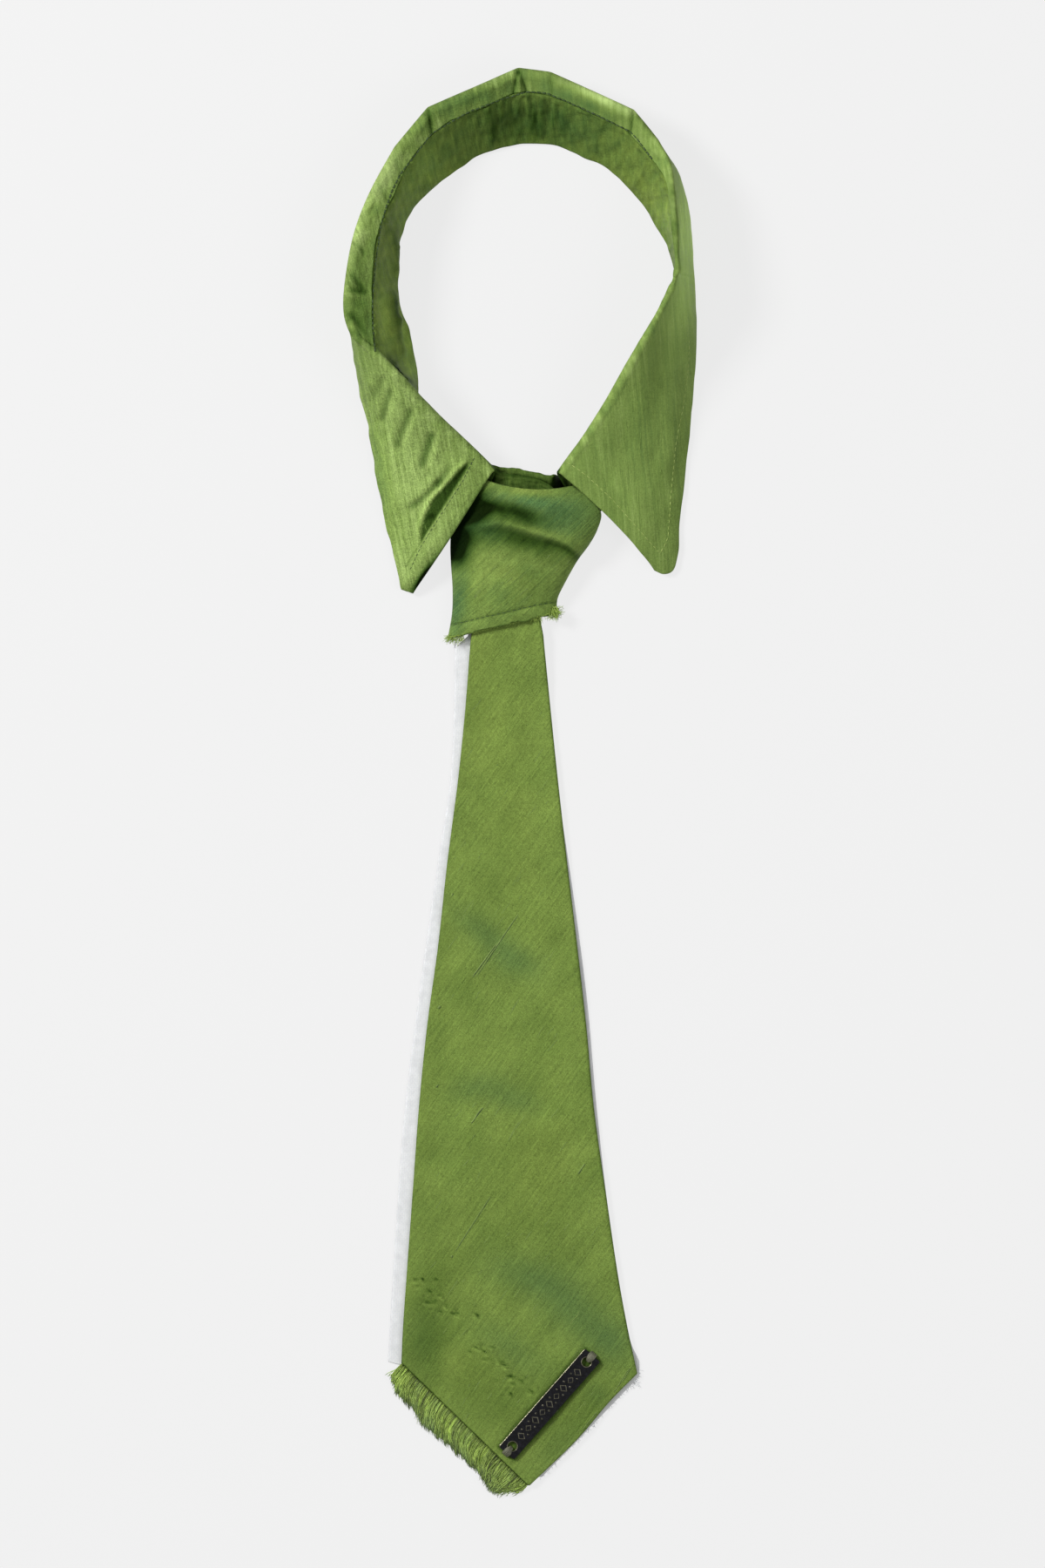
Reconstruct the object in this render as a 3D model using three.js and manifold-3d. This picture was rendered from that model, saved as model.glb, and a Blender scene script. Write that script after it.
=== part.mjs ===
// A ready-made silk necktie closed round the band of a pointed shirt collar, laid flat.
// Units are millimetres, +Z is up, +Y runs from the blade's point to the back of the collar.
// The origin is on the resting surface, under the middle of the whole outline.
import * as THREE from "three";
import * as BufferGeometryUtils from "three/addons/utils/BufferGeometryUtils.js";
import Module from "manifold-3d";

// Driving dimensions
const COLLAR_WALL = 1.4; // band and leaf
const ROLL_RADIUS = 1.8; // of the leaf's fold, at the middle of its wall
const SEAM_GAP = 1.2; // between the band's upper edge and the leaf, at the middle of the walls
const KNOT_WALL = 1.4;
const BLADE_WALL = 1.4;
const BACKING_WALL = 1.0;
const FRINGE_WALL = 1.6;
const FRINGE_LOCKS = 24;
const FRINGE_LENGTH = 11.5;
const PLATE = {
  length: 48,
  width: 7.6,
  thickness: 1.2,
  holeRadius: 1.7,
  holeInset: 3.4,
  bevel: 0.35,
  corner: 0.8,
};
const PLATE_CENTRE = { x: 10.4, y: -228.5, turn: 48.6 }; // the turn is in degrees from +X
const PLATE_LIFT = 3.0; // from the resting surface to the plate's underside
const THREAD = { width: 2.6, thickness: 0.8, overhang: 1.3, rise: 0.35, foot: 0.15 };
const BUTTON = { radius: 4, thickness: 1.3, x: 1.5, y: 101.2, z: 7.65, tilt: 21 };

// Steps between two rows of a table, and points round a section
const COLLAR_STEPS = 3;
const KNOT_STEPS = 3;
const KNOT_AROUND = 24;
const BLADE_STEPS = 2;
const BLADE_ACROSS = 10;
const BACKING_ACROSS = 4;
const FALL_SHARES = [0.15, 0.32, 0.5, 0.68, 0.86, 1]; // down the leaf, from the fold to the free edge
const ARC_DEGREES = [0, 60, 120, 180]; // round the leaf's fold
const STAND_SHARES = [0, 0.33, 0.67, 1]; // down the band, from its upper edge to its lower one

// The knot's section: a superellipse whose widest place is waist of the way up from base to crown
const KNOT_SECTION = { width: 0.85, rise: 0.75, fall: 0.5, waist: 0.3 };

// The fringe: a head strip with locks whose tips lean along the hem, shorter near the blade's point
const STRIP = { from: 0.3, to: 2.6, inset: 1 };
const LOCK = { root: 1.2, lean: 2.6, sway: 0.6, spread: 0.62, shorter: 0.62, pointShare: 0.86 };

// Rows of named values
function table(header, rows) {
  const names = header.trim().split(/\s+/);
  return rows.map((row) => Object.fromEntries(names.map((name, i) => [name, row[i]])));
}

// The collar, a row for each section, from the front end of its left point round the back to the right.
// roll is the fold's outer line, foot the band's lower edge, edge the leaf's free edge. share is how far
// from roll to foot the seam lies in plan, drop how far it lies under the roll line, belly how far the
// leaf bows outward, and a row whose corner is 1 is a crease in the outline.
const COLLAR = table(
  "rollX rollY rollZ share drop footX footY edgeX edgeY edgeZ belly corner",
  [
    [-9.5, 114.5, 14.3, 0.3, 7.3, -18, 91.5, -41, 69.5, 2.2, 4.2, 0],
    [-16, 121, 15.8, 0.3, 7, -31, 103, -45.5, 79, 1.3, 3.8, 0],
    [-26.5, 130.5, 19, 0.3, 7, -36, 119, -50, 97, 0.8, 3, 0],
    [-37.5, 140.5, 24, 0.35, 7, -38, 138, -53, 113, 0.8, 2.5, 0],
    [-46, 149.5, 28, 0.4, 6, -38.5, 150, -55.5, 129, 0.8, 2, 0],
    [-54, 157.5, 29.5, 0.45, 4, -40, 158.5, -59, 145, 0.8, 1.5, 0],
    [-61, 163.5, 28.5, 0.48, 2.5, -41.5, 165, -60, 157, 0.8, 1, 0],
    [-64.5, 174, 27.5, 0.5, 2, -44.5, 174, -58.5, 173, 0.8, 1, 0],
    [-63, 189.5, 28, 0.5, 2, -45.5, 190, -56, 188.5, 0.8, 1, 0],
    [-60, 203, 27.5, 0.5, 2, -44, 203, -52, 200, 0.8, 1, 0],
    [-54.5, 217, 25.5, 0.45, 2, -36.5, 214.5, -45, 210, 0.8, 1, 0],
    [-46, 232.5, 23, 0.4, 2, -27.5, 222.5, -34.5, 223, 0.8, 0.8, 1],
    [-34, 247, 20.5, 0.34, 2.2, -18.5, 228.5, -24, 233, 0.8, 0.6, 1],
    [-17.5, 254.2, 19.2, 0.33, 2.4, -10.5, 232, -11.5, 238.5, 0.8, 0.6, 0],
    [-1, 261.5, 18.5, 0.32, 2.5, -1.5, 234.5, -1.5, 241.5, 0.8, 0.6, 1],
    [10.5, 260, 18.5, 0.32, 2.5, 10, 234.5, 10.3, 240.5, 0.8, 0.6, 1],
    [26, 253, 19.5, 0.32, 2.5, 21.5, 230.5, 22, 236, 0.8, 0.6, 0],
    [41, 246, 20.8, 0.32, 2.5, 32, 225, 35, 230, 0.8, 0.8, 1],
    [50, 234.8, 24, 0.3, 2.5, 40.5, 217, 47, 227, 0.8, 1, 1],
    [54.5, 225.5, 28, 0.28, 3, 45, 211.5, 56.5, 224, 0.8, 1, 0],
    [55.7, 213, 31, 0.28, 4, 50, 204, 60.3, 213, 0.8, 1, 0],
    [56.5, 200, 32.5, 0.3, 5, 54.5, 196.5, 62.2, 200, 0.8, 1, 0],
    [57, 187, 33, 0.35, 6, 57, 186.5, 63, 186, 0.8, 1, 0],
    [53.5, 178, 32, 0.35, 6, 57.5, 175, 63.8, 173, 0.8, 1.2, 0],
    [46.5, 165.5, 29.5, 0.32, 6, 55.3, 161, 64, 160, 0.8, 1.6, 0],
    [39, 153, 26.5, 0.3, 6, 52, 146.5, 63, 145, 0.8, 2, 0],
    [31.5, 140, 22.5, 0.3, 6, 47.5, 132, 61.8, 130, 0.8, 2.6, 0],
    [23.5, 127.5, 18.5, 0.3, 6.5, 41, 116.5, 60, 112, 0.8, 3, 0],
    [18, 120, 15.8, 0.3, 7, 34, 105, 58, 95, 1, 3.6, 0],
    [13.5, 113.5, 14.3, 0.3, 7.3, 23.5, 93, 54, 77.5, 1.8, 3.8, 0],
  ],
);

// The band's two free ends at the front, past the leaf: the left end lies on top of the right one.
const BAND_TAB = table(
  "rollX rollY rollZ share drop footX footY footZ corner",
  [
    [12.4, 107.6, 8.2, 0, 0, 9.6, 95, 4, 1],
    [11, 110, 9.2, 0, 0, 6, 92.6, 3, 0],
    [4, 112, 10, 0, 0, -1, 91, 2.7, 0],
    [-4, 113.3, 10.2, 0, 0, -9.5, 90.6, 2.7, 0],
    [-8.4, 114.2, 10.3, 0, 0, -15, 91, 1.8, 1],
  ],
);
const BAND_UNDER = table(
  "rollX rollY rollZ share drop footX footY footZ corner",
  [
    [10.6, 112.9, 9.6, 0, 0, 20.4, 92.4, 0.8, 1],
    [6, 113.2, 9.4, 0, 0, 12, 91, 0.8, 0],
    [-1, 114.2, 8.5, 0, 0, 4, 90.4, 0.8, 0],
    [-8, 115, 8.4, 0, 0, -6, 90.4, 0.8, 1],
  ],
);

// The knot, a row for each section from its upper mouth to its raw hem. dip moves the middle of a
// section towards the hem, base and crown are the heights of its underside and its top.
const KNOT = table(
  "leftX leftY rightX rightY dip base crown corner",
  [
    [-14, 110.8, 19.5, 108.4, 2.2, 11.1, 14.8, 0],
    [-18, 105.8, 26, 103.5, 1.6, 10.5, 15.1, 0],
    [-22.2, 99.5, 29.4, 98.5, 0.8, 8.8, 15.4, 0],
    [-25.4, 93, 28, 92.5, 0.4, 5.8, 16, 0],
    [-26, 87, 25, 87, 0, 2.8, 15.4, 0],
    [-25.8, 80, 20.6, 81, 0, 0.2, 14, 0],
    [-25.2, 71, 16.2, 73.2, 0, 0, 11.8, 0],
    [-25.4, 62, 13.4, 67.2, 0, 0, 9.2, 0],
    [-27, 52.6, 13.2, 62, 0, 0, 7.2, 0],
  ],
);

// The silk blade and its white backing, a row for each station down to the point.
// height is that of the cloth's underside.
const BLADE = table(
  "y left right height corner",
  [
    [80, -15.5, 7, 3.3, 0],
    [62, -17.4, 7, 3.3, 0],
    [53.5, -18.4, 8.2, 3.3, 1],
    [49, -18.8, 8.6, 2.8, 1],
    [25, -20.7, 11, 1.5, 0],
    [0, -23.3, 13.6, 1.3, 0],
    [-30, -27.2, 17, 1.3, 0],
    [-60, -30.5, 20.6, 1.3, 0],
    [-90, -34.6, 24, 1.3, 0],
    [-120, -37.6, 26.8, 1.3, 0],
    [-150, -39.8, 31, 1.3, 0],
    [-180, -42, 35.4, 1.3, 0],
    [-200, -43.4, 39, 1.3, 0],
    [-213.5, -44, 41.9, 1.3, 1],
    [-217.3, -40.1, 42.7, 1.3, 1],
    [-228, -29, 32.2, 1.3, 0],
    [-242, -14.5, 20.2, 1.3, 0],
    [-257.4, 1.4, 4.2, 1.3, 1],
  ],
);
const BACKING = table(
  "y left right height corner",
  [
    [78, -15.5, 5, 1.9, 0],
    [62, -17.4, 5, 1.9, 0],
    [53.5, -19.6, 6, 1.9, 1],
    [49, -24.4, 7.4, 1.4, 1],
    [25, -24.8, 10, 0.1, 0],
    [0, -26.2, 13, 0, 0],
    [-40, -32.2, 19, 0, 0],
    [-80, -37.8, 24.2, 0, 0],
    [-120, -42.8, 27.8, 0, 0],
    [-160, -45.9, 32.4, 0, 0],
    [-200, -48.2, 38.8, 0, 0],
    [-213, -49, 43.4, 0, 1],
    [-214.8, -42.4, 43.5, 0, 1],
    [-218.4, -38.7, 43.4, 0, 1],
    [-240, -16.4, 22.6, 0, 0],
    [-256, 0.2, 7, 0, 1],
  ],
);
const HEM = { start: { x: -44, y: -213.7 }, end: { x: 1.3, y: -257.4 } };

// Main folds, as lines on the cloth from one place to another: a height below 0 is a groove
const STAND_FOLDS = table(
  "fromX fromY toX toY width height",
  [
    [-49, 176, -42, 152, 3, -2],
    [-9, 250, -7, 236, 2.2, 1.2],
    [-1, 250, -1, 236, 2.2, 1.2],
    [7, 250, 6, 236, 2.2, 1.2],
    [16, 248, 13, 236, 2.2, 1],
  ],
);
const LEAF_FOLDS = table(
  "fromX fromY toX toY width height",
  [
    [-17, 119, -26, 102, 2.6, -1.1],
    [-26, 102, -35, 89, 2.2, -0.8],
    [-22, 121, -40, 98, 3, 0.7],
    [-39, 135, -46, 124, 2.5, -0.8],
    [-49, 141, -52, 132, 2.5, -0.6],
    [22, 112, 46, 88, 3, 0.5],
  ],
);
const KNOT_FOLDS = table(
  "fromX fromY toX toY width height",
  [
    [22, 82, 9.8, 88.4, 2.4, -2.4],
    [9.8, 88.4, -2, 92.6, 2.4, -2.6],
    [-2, 92.6, -13, 95.4, 2.4, -2.2],
    [-13, 95.4, -22, 93.6, 2.2, -1.6],
    [-13, 101.5, 8, 96.8, 2.6, -0.8],
    [-14, 86, 2, 84, 5, 1],
    [-20, 90, -18, 80, 3, -1],
  ],
);
const BLADE_FOLDS = table(
  "fromX fromY toX toY width height",
  [
    [-14, 40, -18, -20, 7, 0.9],
    [6, 30, 8, -40, 6, 0.6],
    [-24, -60, -30, -140, 8, 0.7],
    [10, -90, 20, -170, 9, 0.8],
    [-12, -130, -20, -190, 7, 0.5],
    [-36, -190, -12, -200, 6, 0.5],
  ],
);

// The values of a table at a station between two of its rows, on a smooth curve through the rows
// that runs straight up to a corner.
function along(rows, station) {
  const index = Math.min(Math.floor(station), rows.length - 2);
  const t = station - index;
  const [before, from, to, after] = [-1, 0, 1, 2].map(
    (step) => rows[THREE.MathUtils.clamp(index + step, 0, rows.length - 1)],
  );
  const values = {};
  for (const name of Object.keys(from)) {
    const chord = to[name] - from[name];
    const slopeFrom = THREE.MathUtils.lerp((to[name] - before[name]) / 2, chord, from.corner);
    const slopeTo = THREE.MathUtils.lerp((after[name] - from[name]) / 2, chord, to.corner);
    const square = 3 * chord - 2 * slopeFrom - slopeTo;
    const cubic = slopeFrom + slopeTo - 2 * chord;
    values[name] = from[name] + t * (slopeFrom + t * (square + t * cubic));
  }
  return values;
}

function stations(rows, steps) {
  const count = (rows.length - 1) * steps;
  return Array.from({ length: count + 1 }, (_, i) => along(rows, i / steps));
}

// Height that the folds add at a place in plan
function foldHeight(folds, x, y) {
  let height = 0;
  for (const fold of folds) {
    const from = new THREE.Vector2(fold.fromX, fold.fromY);
    const run = new THREE.Vector2(fold.toX, fold.toY).sub(from);
    const place = new THREE.Vector2(x, y).sub(from);
    const share = THREE.MathUtils.clamp(place.dot(run) / run.lengthSq(), 0, 1);
    const distance = place.distanceTo(run.multiplyScalar(share));
    height += fold.height * Math.exp(-((distance / fold.width) ** 2));
  }
  return height;
}

// A mesh from points and triangles
function geometryOf(points, faces) {
  const geometry = new THREE.BufferGeometry();
  const places = points.flatMap((p) => [p.x, p.y, p.z]);
  geometry.setAttribute("position", new THREE.Float32BufferAttribute(places, 3));
  geometry.setIndex(faces.flat());
  geometry.computeVertexNormals();
  return geometry;
}

// A closed wall of cloth whose upper and lower skins are two grids of points of the same size
function wallBetween(upper, lower) {
  const rows = upper.length;
  const columns = upper[0].length;
  const points = [...upper.flat(), ...lower.flat()];
  const top = (i, j) => i * columns + j;
  const bottom = (i, j) => rows * columns + i * columns + j;
  const faces = [];
  const quad = (a, b, c, d) => faces.push([a, b, c], [a, c, d]);
  for (let i = 0; i < rows - 1; i += 1) {
    for (let j = 0; j < columns - 1; j += 1) {
      quad(top(i, j), top(i + 1, j), top(i + 1, j + 1), top(i, j + 1));
      quad(bottom(i, j), bottom(i, j + 1), bottom(i + 1, j + 1), bottom(i + 1, j));
    }
    quad(top(i, 0), bottom(i, 0), bottom(i + 1, 0), top(i + 1, 0));
    const last = columns - 1;
    quad(top(i, last), top(i + 1, last), bottom(i + 1, last), bottom(i, last));
  }
  for (let j = 0; j < columns - 1; j += 1) {
    quad(top(0, j), top(0, j + 1), bottom(0, j + 1), bottom(0, j));
    quad(top(rows - 1, j), bottom(rows - 1, j), bottom(rows - 1, j + 1), top(rows - 1, j + 1));
  }
  return geometryOf(points, faces);
}

// A wall of even thickness round a grid of points, flattened where it rests on the surface
function wallAround(grid, thickness) {
  const at = (i, j) =>
    grid[THREE.MathUtils.clamp(i, 0, grid.length - 1)][THREE.MathUtils.clamp(j, 0, grid[0].length - 1)];
  const skin = (side) =>
    grid.map((row, i) =>
      row.map((point, j) => {
        const alongRows = at(i + 1, j).clone().sub(at(i - 1, j));
        const acrossRow = at(i, j + 1).clone().sub(at(i, j - 1));
        const offset = alongRows.cross(acrossRow).normalize().multiplyScalar((side * thickness) / 2);
        const place = point.clone().add(offset);
        place.z = Math.max(place.z, 0);
        return place;
      }),
    );
  return wallBetween(skin(1), skin(-1));
}

// The collar's section at a row: the seam, the fold's arc and the leaf's free edge
function collarSection(row) {
  const roll = new THREE.Vector3(row.rollX, row.rollY, row.rollZ);
  const foot = new THREE.Vector3(row.footX, row.footY, row.footZ ?? COLLAR_WALL / 2 + 0.1);
  const seam = new THREE.Vector3(
    THREE.MathUtils.lerp(roll.x, foot.x, row.share),
    THREE.MathUtils.lerp(roll.y, foot.y, row.share),
    roll.z - row.drop,
  );
  return { roll, foot, seam };
}

function leafLine(row) {
  const { roll, seam } = collarSection(row);
  const edge = new THREE.Vector3(row.edgeX, row.edgeY, row.edgeZ);
  const toSeam = seam.clone().sub(roll).normalize();
  const toEdge = edge.clone().sub(roll).normalize();
  const outward = toSeam.clone().add(toEdge).normalize().negate();
  const inner = toSeam.clone().sub(toEdge).normalize();
  const centre = roll.clone().addScaledVector(outward, -ROLL_RADIUS - COLLAR_WALL / 2);
  const onArc = (degrees) => {
    const turn = THREE.MathUtils.degToRad(degrees);
    return centre
      .clone()
      .addScaledVector(inner, ROLL_RADIUS * Math.cos(turn))
      .addScaledVector(outward, ROLL_RADIUS * Math.sin(turn));
  };
  const line = [seam, seam.clone().lerp(onArc(0), 0.5)];
  for (const degrees of ARC_DEGREES) {
    line.push(onArc(degrees));
  }
  const start = onArc(180);
  for (const share of FALL_SHARES) {
    const bow = row.belly * Math.sin(Math.PI * share) ** 0.8;
    const place = start.clone().lerp(edge, share).addScaledVector(inner, -bow);
    place.z += foldHeight(LEAF_FOLDS, place.x, place.y) * Math.sin(Math.PI * share);
    line.push(place);
  }
  return line;
}

function standLine(row) {
  const { roll, foot, seam } = collarSection(row);
  const inward = foot.clone().sub(seam).normalize();
  const start = row.share > 0 ? seam.clone().addScaledVector(inward, SEAM_GAP) : roll;
  return STAND_SHARES.map((share) => {
    const place = start.clone().lerp(foot, share);
    place.z += foldHeight(STAND_FOLDS, place.x, place.y) * Math.sin(Math.PI * share);
    return place;
  });
}

function collarLeaf() {
  return wallAround(stations(COLLAR, COLLAR_STEPS).map(leafLine), COLLAR_WALL);
}

function collarStand() {
  const rows = [
    ...stations(BAND_TAB, COLLAR_STEPS),
    ...stations(COLLAR, COLLAR_STEPS),
    ...stations(BAND_UNDER, COLLAR_STEPS),
  ];
  return wallAround(rows.map(standLine), COLLAR_WALL);
}

function knotRing(row, inset) {
  const left = new THREE.Vector3(row.leftX, row.leftY, 0);
  const right = new THREE.Vector3(row.rightX, row.rightY, 0);
  const middle = left.clone().lerp(right, 0.5);
  const half = right.clone().sub(left).multiplyScalar(0.5);
  const reach = half.length() - inset;
  const across = half.normalize();
  const downward = new THREE.Vector3(across.y, -across.x, 0);
  const crown = row.crown - inset;
  const base = row.base + inset;
  const waist = base + KNOT_SECTION.waist * (crown - base);
  return Array.from({ length: KNOT_AROUND }, (_, i) => {
    const turn = (2 * Math.PI * i) / KNOT_AROUND;
    const side = Math.cos(turn);
    const share = Math.sign(side) * Math.abs(side) ** KNOT_SECTION.width;
    const up = Math.max(Math.sin(turn), 0) ** KNOT_SECTION.rise;
    const down = Math.max(-Math.sin(turn), 0) ** KNOT_SECTION.fall;
    const place = middle
      .clone()
      .addScaledVector(across, reach * share)
      .addScaledVector(downward, row.dip * (1 - share * share));
    place.z = waist + (crown - waist) * up - (waist - base) * down;
    place.z = Math.max(place.z + up * foldHeight(KNOT_FOLDS, place.x, place.y), inset);
    return place;
  });
}

// A hollow sleeve with both mouths open
function knot() {
  const rows = stations(KNOT, KNOT_STEPS);
  const outer = rows.map((row) => knotRing(row, 0));
  const inner = rows.map((row) => knotRing(row, KNOT_WALL));
  const points = [...outer.flat(), ...inner.flat()];
  const out = (i, j) => i * KNOT_AROUND + (j % KNOT_AROUND);
  const into = (i, j) => (rows.length + i) * KNOT_AROUND + (j % KNOT_AROUND);
  const last = rows.length - 1;
  const faces = [];
  const quad = (a, b, c, d) => faces.push([a, b, c], [a, c, d]);
  for (let j = 0; j < KNOT_AROUND; j += 1) {
    for (let i = 0; i < last; i += 1) {
      quad(out(i, j), out(i, j + 1), out(i + 1, j + 1), out(i + 1, j));
      quad(into(i, j), into(i + 1, j), into(i + 1, j + 1), into(i, j + 1));
    }
    quad(out(0, j), into(0, j), into(0, j + 1), out(0, j + 1));
    quad(out(last, j), out(last, j + 1), into(last, j + 1), into(last, j));
  }
  return geometryOf(points, faces);
}

function bladeSheet(rows, across, thickness, folds) {
  const skin = (lift) =>
    stations(rows, BLADE_STEPS).map((row) =>
      Array.from({ length: across + 1 }, (_, j) => {
        const x = THREE.MathUtils.lerp(row.left, row.right, j / across);
        const rise = Math.sin((Math.PI * j) / across) * foldHeight(folds, x, row.y);
        return new THREE.Vector3(x, row.y, Math.max(row.height, 0) + lift + Math.max(rise, 0));
      }),
    );
  return wallBetween(skin(thickness), skin(0));
}

// Tapering locks that run down and to the left from a head strip along the hem
function bladeFringe(wasm) {
  const start = new THREE.Vector2(HEM.start.x, HEM.start.y);
  const end = new THREE.Vector2(HEM.end.x, HEM.end.y);
  const run = end.clone().sub(start).normalize();
  const out = new THREE.Vector2(run.y, -run.x);
  const length = end.distanceTo(start);
  const place = (alongHem, fromHem) =>
    start.clone().addScaledVector(run, alongHem).addScaledVector(out, fromHem);
  const strip = new THREE.Shape([
    place(STRIP.inset, STRIP.from),
    place(length, STRIP.from),
    place(length, STRIP.to),
    place(STRIP.inset, STRIP.to),
  ]);
  let body = solidOf(wasm, extruded(strip, FRINGE_WALL));
  const step = length / FRINGE_LOCKS;
  for (let i = 0; i < FRINGE_LOCKS; i += 1) {
    const root = (i + 0.5) * step;
    const towardsPoint = THREE.MathUtils.smoothstep(root, LOCK.pointShare * length, length);
    const reach = FRINGE_LENGTH * (0.85 + 0.15 * Math.sin(i * 2.4)) * (1 - LOCK.shorter * towardsPoint);
    const lean = LOCK.lean * (1 - 1.3 * towardsPoint) + LOCK.sway * Math.sin(i * 1.7);
    const lock = new THREE.Shape([
      place(root - LOCK.spread * step, LOCK.root),
      place(root + LOCK.spread * step, LOCK.root),
      place(root + 0.45 * step + 0.3 * lean, 0.5 * reach),
      place(root + 0.1 * step + lean, reach),
      place(root - 0.35 * step + 0.3 * lean, 0.55 * reach),
    ]);
    body = body.add(solidOf(wasm, extruded(lock, FRINGE_WALL * (0.7 + 0.25 * (i % 2)))));
  }
  return geometryFrom(body);
}

function extruded(shape, depth) {
  return new THREE.ExtrudeGeometry(shape, { depth, bevelEnabled: false, curveSegments: 6 });
}

function solidOf(wasm, geometry) {
  const plain = geometry.clone();
  plain.deleteAttribute("normal");
  plain.deleteAttribute("uv");
  const merged = BufferGeometryUtils.mergeVertices(plain, 1e-4);
  return new wasm.Manifold(
    new wasm.Mesh({
      numProp: 3,
      vertProperties: new Float32Array(merged.attributes.position.array),
      triVerts: new Uint32Array(merged.index.array),
    }),
  );
}

function geometryFrom(solid) {
  const mesh = solid.getMesh();
  const geometry = new THREE.BufferGeometry();
  geometry.setAttribute("position", new THREE.Float32BufferAttribute(mesh.vertProperties, 3));
  geometry.setIndex(Array.from(mesh.triVerts));
  geometry.computeVertexNormals();
  return geometry;
}

// A bar with rounded corners, bevelled edges and a round hole near each end, long side along X
function namePlate() {
  const { length, width, thickness, holeRadius, holeInset, bevel, corner } = PLATE;
  const x = length / 2 - bevel;
  const y = width / 2 - bevel;
  const outline = new THREE.Shape();
  outline.moveTo(-x + corner, -y);
  outline.lineTo(x - corner, -y);
  outline.quadraticCurveTo(x, -y, x, -y + corner);
  outline.lineTo(x, y - corner);
  outline.quadraticCurveTo(x, y, x - corner, y);
  outline.lineTo(-x + corner, y);
  outline.quadraticCurveTo(-x, y, -x, y - corner);
  outline.lineTo(-x, -y + corner);
  outline.quadraticCurveTo(-x, -y, -x + corner, -y);
  for (const end of [-1, 1]) {
    const hole = new THREE.Path();
    hole.absarc(end * (length / 2 - holeInset), 0, holeRadius + bevel, 0, 2 * Math.PI, true);
    outline.holes.push(hole);
  }
  const geometry = new THREE.ExtrudeGeometry(outline, {
    depth: thickness - 2 * bevel,
    bevelThickness: bevel,
    bevelSize: bevel,
    bevelSegments: 1,
    curveSegments: 8,
  });
  geometry.translate(0, 0, bevel);
  return geometry;
}

// A flat bundle of threads that comes up through the plate's hole and goes down over its end
function threadBundle() {
  const inHole = -PLATE.holeInset + 0.5;
  const over = PLATE.thickness + THREAD.rise;
  const top = over + THREAD.thickness;
  const bend = THREAD.overhang - 0.2;
  const outline = new THREE.Shape();
  outline.moveTo(inHole - THREAD.thickness, THREAD.foot);
  outline.lineTo(inHole - THREAD.thickness, over);
  outline.quadraticCurveTo(inHole - THREAD.thickness, top, inHole + 0.6, top);
  outline.lineTo(bend - 0.4, top);
  outline.quadraticCurveTo(bend + THREAD.thickness, top, THREAD.overhang + THREAD.thickness, THREAD.foot);
  outline.lineTo(THREAD.overhang, THREAD.foot);
  outline.lineTo(bend, over);
  outline.lineTo(inHole, over);
  outline.lineTo(inHole, THREAD.foot);
  const geometry = new THREE.ExtrudeGeometry(outline, {
    depth: THREAD.width,
    bevelEnabled: false,
    curveSegments: 4,
  });
  geometry.translate(0, 0, -THREAD.width / 2);
  geometry.rotateX(Math.PI / 2);
  return geometry;
}

// A disc with a raised rim
function collarButton() {
  const { radius, thickness } = BUTTON;
  const profile = [
    [0, 0],
    [radius - 0.5, 0],
    [radius, 0.5],
    [radius, thickness - 0.3],
    [radius - 0.3, thickness],
    [radius - 1, thickness],
    [radius - 1.3, thickness - 0.35],
    [0, thickness - 0.35],
  ].map(([r, z]) => new THREE.Vector2(r, z));
  const geometry = new THREE.LatheGeometry(profile, 16);
  geometry.rotateX(Math.PI / 2);
  return geometry;
}

const SILK = { roughness: 0.55, metalness: 0 };
const FINISH = {
  leaf: new THREE.MeshStandardMaterial({ color: 0x83a25a, ...SILK }),
  band: new THREE.MeshStandardMaterial({ color: 0x58723a, ...SILK }),
  knot: new THREE.MeshStandardMaterial({ color: 0x6c8545, ...SILK }),
  blade: new THREE.MeshStandardMaterial({ color: 0x6f8740, ...SILK }),
  fringe: new THREE.MeshStandardMaterial({ color: 0x6b823a, ...SILK }),
  backing: new THREE.MeshStandardMaterial({ color: 0xdcdcde, roughness: 0.9, metalness: 0 }),
  plate: new THREE.MeshStandardMaterial({ color: 0x17171a, roughness: 0.3, metalness: 0.8 }),
  thread: new THREE.MeshStandardMaterial({ color: 0x5a5b47, roughness: 0.8, metalness: 0 }),
  button: new THREE.MeshStandardMaterial({ color: 0x4a5a36, roughness: 0.4, metalness: 0 }),
};

function named(name, geometry, material) {
  const mesh = new THREE.Mesh(geometry, material);
  mesh.name = name;
  return mesh;
}

const wasm = await Module();
wasm.setup();

const necktie = new THREE.Group();
necktie.add(
  named("collar_stand", collarStand(), FINISH.band),
  named("collar_leaf", collarLeaf(), FINISH.leaf),
  named("knot", knot(), FINISH.knot),
  named("blade_front", bladeSheet(BLADE, BLADE_ACROSS, BLADE_WALL, BLADE_FOLDS), FINISH.blade),
  named("blade_backing", bladeSheet(BACKING, BACKING_ACROSS, BACKING_WALL, []), FINISH.backing),
  named("blade_fringe", bladeFringe(wasm), FINISH.fringe),
);

const button = named("collar_button", collarButton(), FINISH.button);
button.position.set(BUTTON.x, BUTTON.y, BUTTON.z);
button.rotation.x = THREE.MathUtils.degToRad(BUTTON.tilt);
necktie.add(button);

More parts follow.
